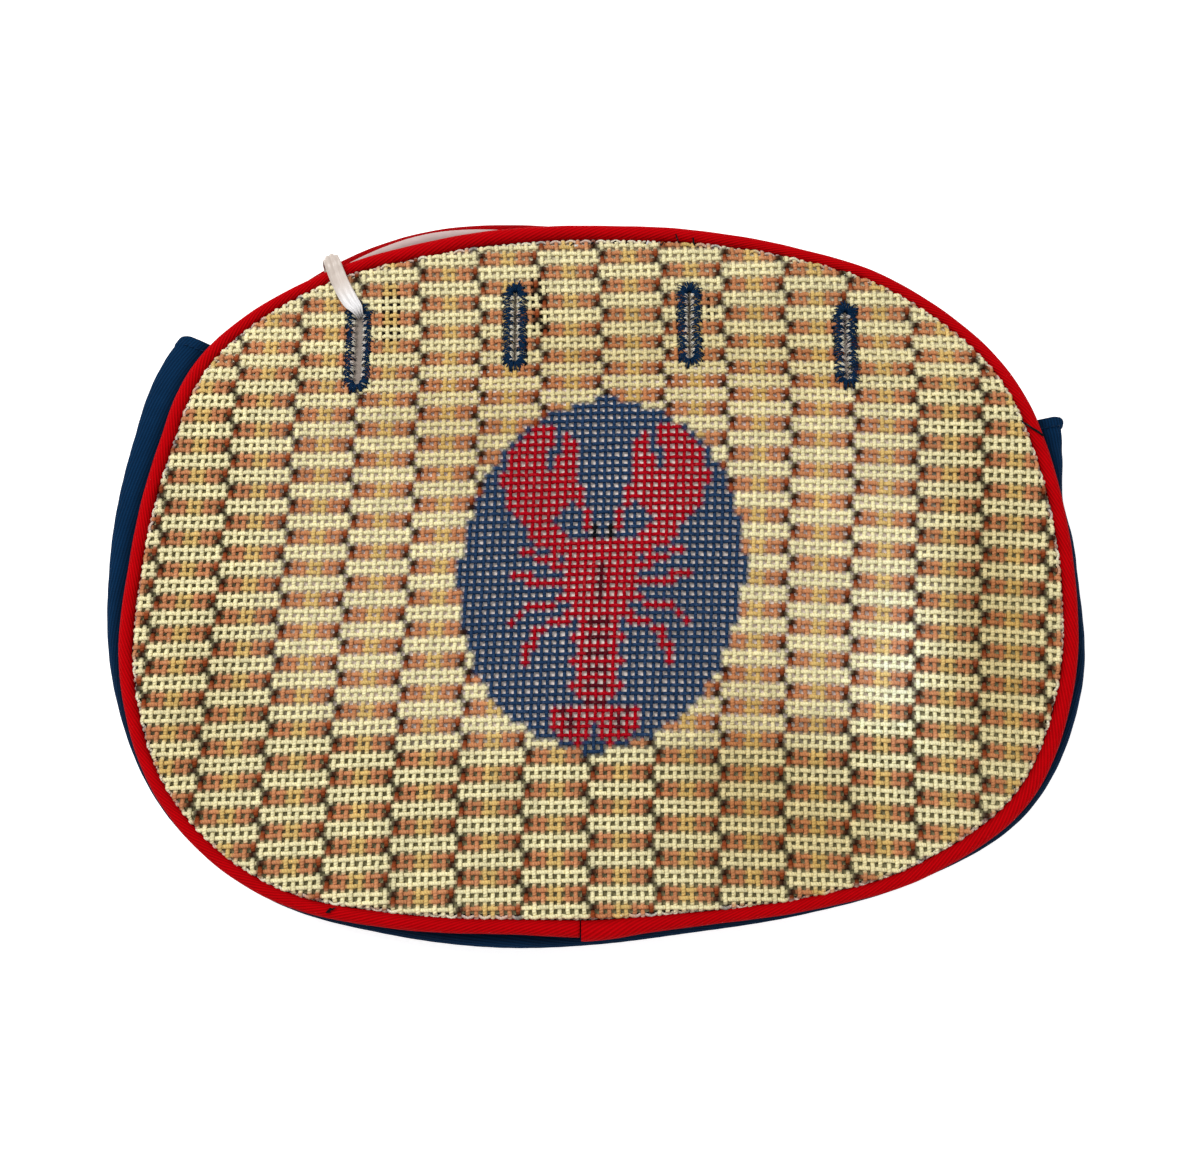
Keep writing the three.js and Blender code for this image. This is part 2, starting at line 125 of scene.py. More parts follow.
def smooth(t):
    t = np.clip(t, 0, 1)
    return t * t * (3 - 2 * t)


def cos_sin(degrees):
    return math.cos(math.radians(degrees)), math.sin(math.radians(degrees))


rim, _ = outline(FRONT, np.arange(0, 360, 1.0))
print("front outline", np.round(np.ptp(rim, axis=0), 1), "mm")

# %% The height of the front
BODY_LEVEL = 20.0
MOUTH_LEVEL = 13.0
SLOPE_FOOT, SLOPE_TOP = 34.0, 66.0  # y where the slope down to the mouth starts and ends
SWELLS = [
    # x, y, across, along, height
    (-46, -6, 34, 52, -2.2),
    (27, -8, 26, 46, 1.0),
    (74, -8, 20, 44, -1.2),
]


def level(x, y):
    """Height of the canvas's face over any point."""
    degrees = np.degrees(np.arctan2(y, x))
    out = np.minimum(np.hypot(x, y) / around(FRONT, degrees), 1)
    fall = smooth((y - SLOPE_FOOT) / (SLOPE_TOP - SLOPE_FOOT))
    z = BODY_LEVEL - (BODY_LEVEL - MOUTH_LEVEL) * fall + around(RISE, degrees) * out**4
    for sx, sy, across, along, height in SWELLS:
        z = z + height * np.exp(-(((x - sx) / across) ** 2) - ((y - sy) / along) ** 2)
    return z


def facing(x, y, reach=1.0):
    """The direction square to the canvas's face."""
    over_x = (level(x + reach, y) - level(x - reach, y)) / (2 * reach)
    over_y = (level(x, y + reach) - level(x, y - reach)) / (2 * reach)
    up = np.stack([-over_x, -over_y, np.ones_like(over_x)], -1)
    return up / np.linalg.norm(up, axis=-1, keepdims=True)


print("face heights", np.round(level(np.array([0.0, 0.0, 90.0]), np.array([0.0, 75.0, 0.0])), 1))

# %% [markdown]
# ## Meshes from arrays
# A thread is a closed tube along a line of points, and this cover has thousands of them. Curve
# objects with a bevel would do it one by one. Filling one mesh from arrays does a whole weave
# at once and lets every ring of a tube carry its own colour. The same helper makes stitches,
# and a second one makes cloth from a grid of points, with a front, a back and closed edges.

# %% Filling a mesh
def fill_mesh(name, points, faces, corner_uv=None, colours=None, bake_uv=None):
    """An object from points in millimetres and faces as arrays of corners, one array for each
    number of corners. Maps hold one row for each corner in the order of the faces."""
    mesh = bpy.data.meshes.new(name)
    mesh.vertices.add(len(points))
    mesh.vertices.foreach_set("co", ((points + MIDDLE) * MM).astype(np.float32).ravel())
    corners = np.concatenate([f.ravel() for f in faces])
    counts = np.concatenate([np.full(len(f), f.shape[1]) for f in faces])
    mesh.loops.add(len(corners))
    mesh.loops.foreach_set("vertex_index", corners.astype(np.int32))
    mesh.polygons.add(len(counts))
    starts = np.concatenate([[0], np.cumsum(counts)[:-1]])
    mesh.polygons.foreach_set("loop_start", starts.astype(np.int32))
    mesh.polygons.foreach_set("use_smooth", np.ones(len(counts), bool))
    for title, values in (("thread", corner_uv), ("OFBake", bake_uv)):
        if values is not None:
            layer = mesh.uv_layers.new(name=title)
            layer.data.foreach_set("uv", values.astype(np.float32).ravel())
    if colours is not None:
        paint = mesh.color_attributes.new(name="paint", type="FLOAT_COLOR", domain="POINT")
        rgba = np.concatenate([colours, np.ones((len(colours), 1))], 1)
        paint.data.foreach_set("color", rgba.astype(np.float32).ravel())
    mesh.update(calc_edges=True)
    mesh.validate()
    piece = bpy.data.objects.new(name, mesh)
    bpy.context.scene.collection.objects.link(piece)
    return piece


def run_neighbours(lengths):
    """For points laid run after run, each one's place before and after it in its own run."""
    stop = np.cumsum(lengths)
    first = np.repeat(stop - lengths, lengths)
    last = np.repeat(stop - 1, lengths)
    here = np.arange(stop[-1])
    return np.maximum(here - 1, first), np.minimum(here + 1, last), last


def unit(vectors):
    return vectors / np.maximum(np.linalg.norm(vectors, axis=-1, keepdims=True), 1e-9)


# %% Tubes
def tubes(name, lengths, centre, up, width, height, sides=6, colours=None, flat_map=False):
    """Closed tubes of oval section along runs of points. width and height are half sizes."""
    lengths = np.asarray(lengths)
    before, after, last = run_neighbours(lengths)
    tangent = unit(centre[after] - centre[before])
    side = unit(np.cross(tangent, up))
    lift = np.cross(side, tangent)
    turn = 2 * np.pi * (np.arange(sides) + 0.5) / sides
    wide = np.broadcast_to(np.asarray(width, float), (len(centre),))[:, None, None]
    high = np.broadcast_to(np.asarray(height, float), (len(centre),))[:, None, None]
    rings = (centre[:, None] + side[:, None] * np.cos(turn)[None, :, None] * wide
             + lift[:, None] * np.sin(turn)[None, :, None] * high)
    here = np.flatnonzero(np.arange(len(centre)) != last)
    k = np.arange(sides)
    ring, spot = here[:, None] * sides, k[None, :]
    following = (k + 1)[None, :] % sides
    quads = np.stack([ring + spot, ring + sides + spot, ring + sides + following,
                      ring + following], -1).reshape(-1, 4)
    stop = np.cumsum(lengths)
    starts = (stop - lengths)[:, None] * sides + k[None, :]
    ends = (stop - 1)[:, None] * sides + k[None, ::-1]
    caps = np.concatenate([starts, ends])
    along = np.concatenate([[0], np.cumsum(np.linalg.norm(np.diff(centre, axis=0), axis=1))])
    u = np.stack([along[here], along[here + 1], along[here + 1], along[here]], -1)
    v = np.stack([k, k, k + 1, k + 1], -1) / sides
    quad_uv = np.stack(np.broadcast_arrays(u[:, None, :], v[None, :, :]), -1).reshape(-1, 2)
    cap_uv = np.repeat(along[np.concatenate([stop - lengths, stop - 1])], sides)
    cap_uv = np.stack([cap_uv, np.zeros_like(cap_uv)], -1)
    points = rings.reshape(-1, 3)
    bake = planar_map(points, [quads, caps]) if flat_map else None
    if colours is not None:
        colours = np.repeat(colours, sides, 0)
    return fill_mesh(name, points, [quads, caps], np.concatenate([quad_uv, cap_uv]), colours, bake)


def planar_map(points, faces):
    """A map seen from above: faces that look up fill the lower part, the others the rest."""
    low, span = points[:, :2].min(0), np.ptp(points[:, :2], axis=0)
    flat = (points[:, :2] - low) / span
    maps = []
    for f in faces:
        p = points[f]
        normal_z = np.cross(p[:, 1] - p[:, 0], p[:, 2] - p[:, 1])[:, 2]
        uv = flat[f] * (0.99, 1) + (0.005, 0)
        upper = (normal_z > 0)[:, None, None]
        maps.append(np.where(upper, uv * (1, 0.74) + (0, 0.005), uv * (1, 0.24) + (0, 0.755)))
    return np.concatenate([m.reshape(-1, 2) for m in maps])


# %% Cloth from a grid
def cloth(name, grid, thick):
    """A sheet with two faces from a grid of points on its middle. Its map runs along the rows
    and columns in millimetres."""
    rows, columns = grid.shape[:2]
    square = unit(np.cross(np.gradient(grid, axis=0), np.gradient(grid, axis=1)))
    half = np.broadcast_to(np.asarray(thick, float), (rows, columns))[..., None] / 2
    points = np.concatenate([(grid + square * half).reshape(-1, 3),
                             (grid - square * half).reshape(-1, 3)])
    number = np.arange(rows * columns).reshape(rows, columns)
    across = np.cumsum(np.linalg.norm(np.diff(grid, axis=1, prepend=grid[:, :1]), axis=-1), 1)
    down = np.cumsum(np.linalg.norm(np.diff(grid, axis=0, prepend=grid[:1]), axis=-1).mean(1))
    uv = np.stack([np.broadcast_to(down[:, None], across.shape), across], -1)

    def wall(line, below):
        return np.stack([line[:-1], line[:-1] + below, line[1:] + below, line[1:]], 1)

    def all_corners(values, below):
        """The corners of the front's faces, the back's and the four walls', in that order."""
        face = np.stack([values[:-1, :-1], values[1:, :-1], values[1:, 1:], values[:-1, 1:]], 2)
        face = face.reshape(-1, 4, *values.shape[2:])
        return np.concatenate([
            face, face[:, ::-1] + below,
            wall(values[:, 0], below), wall(values[:, -1], below)[:, ::-1],
            wall(values[0], below)[:, ::-1], wall(values[-1], below)])

    quads, maps = all_corners(number, rows * columns), all_corners(uv, 0.0)
    return fill_mesh(name, points, [quads], maps.reshape(-1, 2))


def run_length(points):
    return float(np.linalg.norm(np.diff(points, axis=0), axis=-1).sum())


def triangles(piece):
    return sum(len(p.vertices) - 2 for p in piece.data.polygons)


# %% [markdown]
# ## Finishes from nodes
# Every finish here is a node tree: cloth has weave, thread has twist, paint has been brushed on
# by hand. Nodes can be wired one by one, but sums then become hard to read. A small class wraps
# a socket and lets Python's own signs add the Math nodes, so 1 - mask is written as it is said.

# %% A socket that sums can be made with
class Wire:
    """An output socket. Sums on wires add Math nodes to their material."""

    def __init__(self, finish, socket):
        self.finish = finish
        self.socket = socket

    def out(self, title):
        """Another output of the same node."""
        return Wire(self.finish, self.socket.node.outputs[title])

    def __add__(self, other):
        return self.finish.math("ADD", self, other)

    def __sub__(self, other):
        return self.finish.math("SUBTRACT", self, other)

    def __rsub__(self, other):
        return self.finish.math("SUBTRACT", other, self)

    def __mul__(self, other):
        return self.finish.math("MULTIPLY", self, other)

    def __truediv__(self, other):
        return self.finish.math("DIVIDE", self, other)

    def __pow__(self, other):
        return self.finish.math("POWER", self, other)

    __radd__ = __add__
    __rmul__ = __mul__


# %% A material
class Finish:
    """A material and its Principled shader."""

    def __init__(self, title):
        self.material = bpy.data.materials.new(title)
        self.material.use_nodes = True
        self.tree = self.material.node_tree
        self.shader = self.tree.nodes["Principled BSDF"]

    def node(self, kind, settings=None, sockets=None):
        """Any node: its settings first, then a value or a wire for each socket, which is known
        by its name, or by its number where several have the same name."""
        made = self.tree.nodes.new(kind)
        for title, value in (settings or {}).items():
            setattr(made, title, value)
        for title, value in (sockets or {}).items():
            self.feed(made.inputs[title], value)
        return Wire(self, made.outputs[0])

    def feed(self, socket, value):
        if isinstance(value, Wire):
            self.tree.links.new(value.socket, socket)
        else:
            socket.default_value = value

    def math(self, operation, *values):
        return self.node("ShaderNodeMath", {"operation": operation}, dict(enumerate(values)))

    def wave(self, turns):
        """A wave between 0 and 1 that repeats at every whole turn."""
        return 0.5 + 0.5 * self.math("SINE", turns * (2 * math.pi))

    def steps(self, value, low, high):
        """0 below low, 1 above high, and a smooth change between them."""
        return self.node("ShaderNodeMapRange", {"interpolation_type": "SMOOTHSTEP"},
                         {"Value": value, "From Min": low, "From Max": high})

    def blend(self, share, first, second):
        """Two colours blended by a share."""
        return self.node("ShaderNodeMix", {"data_type": "RGBA"},
                         {0: share, 6: first, 7: second}).out(2)

    def lit(self, tone, light):
        """A colour made lighter or darker by a factor."""
        tone = tone if isinstance(tone, Wire) else tone[:3]
        return self.node("ShaderNodeVectorMath", {"operation": "SCALE"},
                         {"Vector": tone, "Scale": light})

    def noise(self, where, scale, detail=2.0, roughness=0.5):
        return self.node("ShaderNodeTexNoise", None, {
            "Vector": where, "Scale": scale, "Detail": detail, "Roughness": roughness})

    def place(self):
        """Where a point is on the piece, in metres."""
        return self.node("ShaderNodeTexCoord").out("Object")

    def parts(self, vector):
        """A vector's first number. Its others are the outputs Y and Z."""
        return self.node("ShaderNodeSeparateXYZ", None, {"Vector": vector})

    def map(self):
        """The piece's own map: millimetres along it, then millimetres across a cloth or turns
        round a thread."""
        along = self.parts(self.node("ShaderNodeUVMap", {"uv_map": "thread"}))
        return along, along.out("Y")

    def bump(self, height, depth):
        """Raised detail: depth in metres."""
        self.set(Normal=self.node("ShaderNodeBump", None, {"Height": height, "Distance": depth}))

    def set(self, **values):
        """Values and wires for the shader's own sockets, with _ for a space in the name."""
        for title, value in values.items():
            self.feed(self.shader.inputs[title.replace("_", " ")], value)
        return self


# %% Colours, and a piece in its material
def colour(red, green, blue):
    """A colour as seen on a screen, 0 to 255, as the linear colour that shaders use."""
    share = np.array([red, green, blue]) / 255
    linear = np.where(share <= 0.04045, share / 12.92, ((share + 0.055) / 1.055) ** 2.4)
    return (*[float(v) for v in linear], 1.0)


def wear(piece, finish, slot, *nodes):
    """The piece gets its material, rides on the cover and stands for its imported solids."""
    piece.data.materials.append(finish.material)
    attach(piece, "root")
    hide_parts(*nodes)
    print(piece.name, triangles(piece), "triangles")


# %% [markdown]
# ## The canvas: where its threads lie
# Needlepoint canvas of 13 threads to the inch is a plain weave of stiff round threads with
# square holes between them. A bump on a flat sheet can't show the lining through the holes, and
# an alpha mask has no thread in it, so each thread is modelled, going over one and under one.
# Handling has pulled the mesh out of square, which a short table of smooth shifts gives.

# %% The mesh, pulled out of square
PITCH = 25.4 / 13
HALF_WIDE, HALF_HIGH = 100.0, 80.0  # the powers below are of x and y as shares of these
SHIFTS = [
    # power of x, power of y, shift right, shift up
    (0, 0, 1.9, -5.9), (0, 1, 3.6, 0.2), (0, 2, -0.4, -0.5), (0, 3, -2.3, 1.0),
    (1, 0, -0.5, 0.6), (1, 1, 0.7, 0.6), (1, 2, 1.0, 0.6),
    (2, 0, 0.8, -2.3), (2, 1, 1.6, 1.4), (3, 0, 0.0, -0.9),
]


def mesh_place(across, along):
    """Where a crossing lies, from the numbers of its two threads, which may be in between."""
    x, y = across * PITCH, along * PITCH
    u, v = x / HALF_WIDE, y / HALF_HIGH
    right = sum(r * u**m * v**n for m, n, r, _ in SHIFTS)
    up = sum(s * u**m * v**n for m, n, _, s in SHIFTS)
    return x + right, y + up


# %% The turned rim
TURN_RADIUS = 0.9
RIM_DEPTH = 2.4
CANVAS_THICK = 1.1
rim_turn = np.arange(0, 360, 0.5)
rim_points, rim_out = outline(FRONT, rim_turn, around(CANVAS, rim_turn))
rim_degrees = np.unwrap(np.arctan2(rim_points[:, 1], rim_points[:, 0]))
rim_radius = np.hypot(*rim_points.T)


def by_angle(angle, values):
    start = rim_degrees[0]
    return np.interp(np.mod(angle - start, 2 * np.pi) + start,
                     np.append(rim_degrees, start + 2 * np.pi), np.append(values, values[0]))


def past_rim(x, y):
    """How far a point is past the line where the canvas starts to turn down, and outwards."""
    angle = np.arctan2(y, x)
    out = unit(np.stack([by_angle(angle, rim_out[:, 0]), by_angle(angle, rim_out[:, 1])], -1))
    square = out[..., 0] * np.cos(angle) + out[..., 1] * np.sin(angle)
    return (np.hypot(x, y) - by_angle(angle, rim_radius)) * square + TURN_RADIUS, out


def lay_on_front(x, y, lift=0.0):
    """Points on the canvas's middle layer, raised by lift along the direction it faces, with
    what lies past the rim turned down beside the piping."""
    past, out = past_rim(x, y)
    angle = np.clip(past / TURN_RADIUS, 0, np.pi / 2)
    reach = TURN_RADIUS * np.sin(angle)
    drop = TURN_RADIUS * (1 - np.cos(angle)) + np.maximum(past - TURN_RADIUS * np.pi / 2, 0)
    back = np.where(past > 0, past - reach, 0)
    px, py = x - out[..., 0] * back, y - out[..., 1] * back
    up = facing(px, py)
    sideways = np.concatenate([out, np.zeros_like(out[..., :1])], -1)
    square = unit(up * np.cos(angle)[..., None] + sideways * np.sin(angle)[..., None])
    z = level(px, py) - CANVAS_THICK / 2 - drop
    return np.stack([px, py, z], -1) + square * np.asarray(lift)[..., None], square, past


LAST_PAST = TURN_RADIUS * np.pi / 2 + RIM_DEPTH - TURN_RADIUS
print("rim radius", round(rim_radius.min(), 1), "to", round(rim_radius.max(), 1), "mm")

# %% [markdown]
# ## The buttonholes' places
# Four slits run down from the mouth. The weave, the lining and the stitching all need to know
# them, so their table comes before any of the cloth. Points are turned into each slit's own
# directions, along it and across it, and can then be compared with its half length and width.

# %% Where the slits are
BUTTONHOLES = [
    # x, y, half length, turn in degrees, half width of the slit
    (-62.2, 56.2, 13.4, 2.0, 1.25),
    (-22.1, 62.2, 12.8, 0.5, 0.55),
    (22.9, 62.6, 12.4, -0.5, 0.55),
    (62.9, 56.8, 12.7, -2.5, 0.55),
]
STITCH_WIDTH = 1.6


def on_slit(hole, x, y):
    """A point's distances along and across a slit, from its middle."""
    cosine, sine = cos_sin(hole[3])
    dx, dy = x - hole[0], y - hole[1]
    return dy * cosine - dx * sine, dx * cosine + dy * sine


def from_slit(hole, along, across):
    """The same the other way: a place on the front from distances along and across a slit."""
    cosine, sine = cos_sin(hole[3])
    return hole[0] - along * sine + across * cosine, hole[1] + along * cosine + across * sine


def in_a_slit(x, y, spare=0.0):
    inside = np.zeros(np.shape(x), bool)
    for hole in BUTTONHOLES:
        along, across = on_slit(hole, x, y)
        half, slit = hole[2] - STITCH_WIDTH, hole[4] + spare
        inside |= (np.abs(across) < slit) & (np.abs(along) < half + spare)
    return inside


# %% [markdown]
# ## The painted design
# The design is a chart: one colour for each crossing, as the stitcher would work it. Its ground
# is a trellis of upright stakes eight threads wide. Each stake repeats two cream rows and two
# banded ones, and its neighbour is two rows lower. In the middle a navy oval holds a lobster,
# a common seaside motif. The lobster is laid out here from a short table of ovals and strokes,
# mirrored about its own back, and each crossing takes the last shape that covers it.

# %% The ground's chart
PAINTS = {
    "bare": colour(225, 220, 212),
    "cream": colour(238, 228, 180),
    "tan": colour(196, 131, 89),
    "gold": colour(216, 182, 112),
    "rust": colour(142, 66, 32),
    "brown": colour(44, 20, 10),
    "navy": colour(34, 58, 90),
    "red": colour(166, 0, 20),
    "wine": colour(84, 8, 24),
    "black": colour(14, 14, 18),
}
INK = {title: number for number, title in enumerate(PAINTS)}
PALETTE = np.array(list(PAINTS.values()))[:, :3]
FIRST_I, LAST_I, FIRST_J, LAST_J = -64, 64, -52, 54
chart_i, chart_j = np.meshgrid(np.arange(FIRST_I, LAST_I + 1), np.arange(FIRST_J, LAST_J + 1),
                               indexing="ij")
LOWER_BAND = "rust tan tan gold gold tan tan brown".split()
UPPER_BAND = "brown tan tan gold gold tan tan rust".split()
STAKE_START = 7  # the first thread of one of the stakes

stake = (chart_i - STAKE_START) // 8
column = (chart_i - STAKE_START) % 8
row = (chart_j + 2 * (stake + 1)) % 4
chart = np.full(chart_i.shape, INK["cream"])
for number, band in enumerate((LOWER_BAND, UPPER_BAND)):
    inks = np.array([INK[title] for title in band])
    chart = np.where(row == number, inks[column], chart)
print("chart of", chart.shape, "crossings")

# %% The medallion's chart
CENTRE_I, CENTRE_J = -1, 1.5
LOBSTER_J = 1
MEDALLION = (17.8, 22.2)  # half its width and height in threads
BUMPS = (18.4, 22.8)  # the same out to the small step in the middle of each side
LOBSTER = [
    # ink, kind, numbers in threads from the middle: oval x, y, half width, half height, lean;
    # stroke x, y to x, y, half width
    ("red", "oval", (8.1, 12.9, 4.9, 6.5, 9)),  # claw
    ("red", "oval", (5.4, 14.2, 1.7, 4.4, 4)),  # its thumb
    ("red", "stroke", (8.8, 8.6, 7.6, 5.6, 1.9)),  # its wrist
    ("navy", "stroke", (6.0, 17.6, 6.9, 14.4, 0.62)),  # the gap between them
    ("red", "stroke", (7.6, 5.4, 3.2, 2.8, 1.4)),  # arm
    ("red", "stroke", (3.4, 0.6, 10.4, 3.2, 0.55)),  # four walking legs
    ("red", "stroke", (3.6, -1.2, 11.2, -0.2, 0.55)),
    ("red", "stroke", (3.4, -3.2, 9.2, -4.0, 0.55)),
    ("red", "stroke", (9.2, -4.0, 11.4, -6.4, 0.55)),
    ("red", "stroke", (2.8, -5.0, 7.6, -7.0, 0.55)),
    ("red", "stroke", (7.6, -7.0, 9.2, -10.6, 0.55)),
    ("red", "stroke", (1.4, 5.0, 2.2, 7.6, 0.5)),  # feelers
    ("red", "stroke", (2.2, 7.6, 3.2, 11.2, 0.5)),
    ("red", "oval", (0, -0.6, 4.2, 5.4, 0)),  # the shell over its back
    ("red", "oval", (0, -10.6, 2.7, 7.6, 0)),  # tail
    *[("red", "stroke", (0, y, 3.2, y, 0.5)) for y in (-8, -11, -14)],  # its side plates
    *[("wine", "stroke", (0, y, 1.4, y, 0.5)) for y in (-6, -8, -10, -12, -14)],  # its folds
    ("wine", "stroke", (0, 1.4, 0, -3.4, 0.5)),  # the line down the shell
    ("red", "oval", (3.7, -18.2, 2.0, 1.9, 30)),  # tail fan
    ("red", "oval", (1.6, -18.8, 1.6, 2.3, 0)),
    ("wine", "stroke", (2.4, -16.6, 3.0, -19.0, 0.45)),
    ("wine", "stroke", (4.4, -17.0, 4.4, -17.0, 0.5)),
    ("wine", "stroke", (0, -16.0, 1.0, -16.0, 0.5)),
    ("black", "oval", (1.0, 5.6, 0.5, 0.6, 0)),  # eye
]


def covered(kind, numbers, x, y):
    """Which crossings a shape covers."""
    if kind == "oval":
        cx, cy, half_x, half_y, lean = numbers
        cosine, sine = cos_sin(lean)
        wide = ((x - cx) * cosine + (y - cy) * sine) / half_x
        high = ((y - cy) * cosine - (x - cx) * sine) / half_y
        return wide**2 + high**2 < 1
    ax, ay, bx, by, half = numbers
    length = max(math.hypot(bx - ax, by - ay), 1e-6)
    share = np.clip(((x - ax) * (bx - ax) + (y - ay) * (by - ay)) / length**2, 0, 1)
    return np.hypot(x - ax - share * (bx - ax), y - ay - share * (by - ay)) < half


dx, dy = np.abs(chart_i - CENTRE_I), np.abs(chart_j - CENTRE_J)
oval = (dx / MEDALLION[0]) ** 2.1 + (dy / MEDALLION[1]) ** 2.1 < 1
bumps = (dx <= 1) & (dy <= BUMPS[1]) | (dy <= 1.5) & (dx <= BUMPS[0])
medallion = oval | bumps
chart[medallion] = INK["navy"]
for ink, kind, numbers in LOBSTER:
    chart[covered(kind, numbers, dx, chart_j - LOBSTER_J)] = INK[ink]
print("lobster of", int(np.isin(chart, [INK["red"], INK["wine"]]).sum()), "crossings")

# %% [markdown]
# ## The canvas: its threads
# A thread needs only three rings for each crossing to bend over one neighbour and under the
# next, because the paint and the fine twist are in its material. The paint follows the chart:
# a ring at a crossing has its colour, and between two colours some bare thread shows. Where
# the canvas turns down at the rim the paint has rubbed off and the thread's knuckles are white.

# %% Washes of paint, and painted shade over folds
# A wash tints the ground golden and darker: in part thin paint, in part painted shade on the slopes
# of soft folds.
WASH_AND_SHADE_TINT = np.array([0.72, 0.63, 0.48])  # what one full wash of thin golden paint lets through
WASHES_AND_FOLD_SHADE = [
    # x, y, across, along, strength; partly thin golden paint, partly painted shade over soft folds;
    # below 0 a painted highlight makes the ground paler there
    (33, -52, 15, 24, 0.6),
    (54, -66, 16, 14, 0.5),
    (22, 52, 50, 17, 0.5),
    (-34, 34, 24, 16, 0.4),
    (72, -26, 12, 26, -0.6),
    (96, -20, 12, 34, 0.7),
    (-98, -40, 10, 20, 0.2),
]


def washed_and_fold_shaded(x, y):
    """The share of light that the washes let through at each point: thin golden paint and painted
    fold shade.
    """
    strength = sum(s * np.exp(-(((x - wx) / across) ** 2) - ((y - wy) / along) ** 2)
                   for wx, wy, across, along, s in WASHES_AND_FOLD_SHADE)
    return WASH_AND_SHADE_TINT ** strength[..., None]


# %% Weaving
RINGS = 3  # rings for each crossing
GROUND_WIDE, NAVY_WIDE, THREAD_HIGH = 0.55, 0.47, 0.36  # half the thread's width and thickness
WAVE = 0.34  # how far it rises and falls
SMEAR = 0.12  # how much of the next crossing's paint is brushed into a ring between two
WEFT_SPARE, WARP_SPARE = -0.2, 0.8  # how far past a slit's edge the threads are cut
rng = np.random.default_rng(13)
shade = 1 + 0.06 * rng.standard_normal(chart.shape)


def wander(threads, along, reach):
    """A slow sideways drift of each thread, as a share of the pitch."""
    drift = np.zeros((threads, len(along)))
    for wave in (9.0, 17.0, 41.0):
        phase = rng.uniform(0, 2 * np.pi, (threads, 1))
        drift += np.sin(2 * np.pi * along[None] / wave + phase)
    return drift * reach / 3


def weave(is_weft):
    """The points, facing directions and colours of all threads of one direction."""
    numbers = np.arange(FIRST_J, LAST_J + 1) if is_weft else np.arange(FIRST_I, LAST_I + 1)
    first, last = (FIRST_I, LAST_I) if is_weft else (FIRST_J, LAST_J)
    along = np.arange(first * RINGS, last * RINGS + 1) / RINGS
    sideways = numbers[:, None] + wander(len(numbers), along, 0.075)
    sideways = sideways + 0.018 * rng.standard_normal(sideways.shape)
    length = np.broadcast_to(along, sideways.shape)
    x, y = mesh_place(*((length, sideways) if is_weft else (sideways, length)))
    over = np.cos(np.pi * along)[None] * np.where(numbers % 2, -1, 1)[:, None]
    over = over if is_weft else -over
    points, square, past = lay_on_front(x, y, over * WAVE)
    near = np.rint(along).astype(int)
    toward = np.sign(np.round(along - near, 3)).astype(int)
    stretch = np.broadcast_to(near, sideways.shape) - first
    beside = np.clip(stretch + toward[None], 0, last - first)
    line = np.broadcast_to((numbers - numbers[0])[:, None], sideways.shape)
    pick = (lambda s: (s, line)) if is_weft else (lambda s: (line, s))
    here, there = PALETTE[chart[pick(stretch)]], PALETTE[chart[pick(beside)]]
    tint = (here + (there - here) * SMEAR) * shade[pick(stretch)][..., None]
    bare = np.clip((past - 0.6) / 0.7, 0, 0.6)
    tint = tint + (PALETTE[INK["bare"]] - tint) * bare[..., None]
    in_oval = medallion[pick(stretch)]
    # outside the medallion the washes, golden paint and painted fold shade, darken the ground
    tint = np.where(in_oval[..., None], tint, np.minimum(tint * washed_and_fold_shaded(x, y), 1))
    wide = np.where(in_oval, NAVY_WIDE, GROUND_WIDE)
    keep = (past < LAST_PAST) & ~in_a_slit(x, y, WEFT_SPARE if is_weft else WARP_SPARE)
    return numbers, points, square, tint, wide, keep


def runs_of(keep):
    """The places and lengths of the unbroken runs along the rows of a mask."""
    change = np.diff(np.pad(keep, ((0, 0), (1, 1))).astype(int), axis=1)
    row, start = np.nonzero(change == 1)
    stop = np.nonzero(change == -1)[1]
    long = stop - start > RINGS
    places = [r * keep.shape[1] + np.arange(a, b)
              for r, a, b in zip(row[long], start[long], stop[long])]
    return np.concatenate(places), (stop - start)[long]


def thread_piece(name, woven, chosen):
    numbers, points, square, tint, wide, keep = woven
    places, lengths = runs_of(keep & chosen(numbers)[:, None])
    return tubes(name, lengths, points.reshape(-1, 3)[places], square.reshape(-1, 3)[places],
                 wide.ravel()[places], THREAD_HIGH, 6, tint.reshape(-1, 3)[places], flat_map=True)


weft, warp = weave(True), weave(False)
canvas_pieces = [
    thread_piece("canvas_weft_upper", weft, lambda n: n >= 3),
    thread_piece("canvas_weft_lower", weft, lambda n: n < 3),
    thread_piece("canvas_warp_left", warp, lambda n: n < 0),
    thread_piece("canvas_warp_right", warp, lambda n: n >= 0),
]

# %% The painted thread's finish
painted_thread = Finish("painted_thread")
where = painted_thread.place()
along, around_thread = painted_thread.map()
paint = painted_thread.node("ShaderNodeVertexColor", {"layer_name": "paint"})
brushed = painted_thread.noise(where, 900.0, 3.0, 0.6)
uneven = painted_thread.noise(where, 60.0, 2.0)
twist = painted_thread.math("SINE", along * 9.0 + around_thread * 2 * math.pi)
fibre = painted_thread.noise(where, 5200.0, 2.0)
# Rare pale specks, and a little of the bare thread's colour, are mixed into the paint.
flecks = painted_thread.steps(painted_thread.noise(where, 1700.0, 1.0), 0.79, 0.83)
lightness = 0.62 + 0.54 * brushed + 0.18 * uneven + 0.08 * twist
bare_showing = 0.05 * painted_thread.steps(brushed, 0.55, 0.75) + 0.7 * flecks
coat = painted_thread.blend(bare_showing, paint, PAINTS["bare"])
tone = painted_thread.lit(coat, lightness)
painted_thread.set(Base_Color=tone, Roughness=0.72, Specular_IOR_Level=0.06)
painted_thread.bump(0.6 * twist + 0.9 * fibre + 0.5 * brushed, 0.0001)
for piece in canvas_pieces:
    wear(piece, painted_thread, "painted_canvas", "front_canvas")

# %% [markdown]
# The canvas is one cut of cloth. For its two halves of horizontal threads, each with the vertical
# threads over it, the heights and shares of the cut's area are worked out, but nothing uses them.

# %% The canvas's cut
def area_inside(points):
    x, y = points.T
    return abs(float(np.sum(x * np.roll(y, -1) - y * np.roll(x, -1)))) / 2


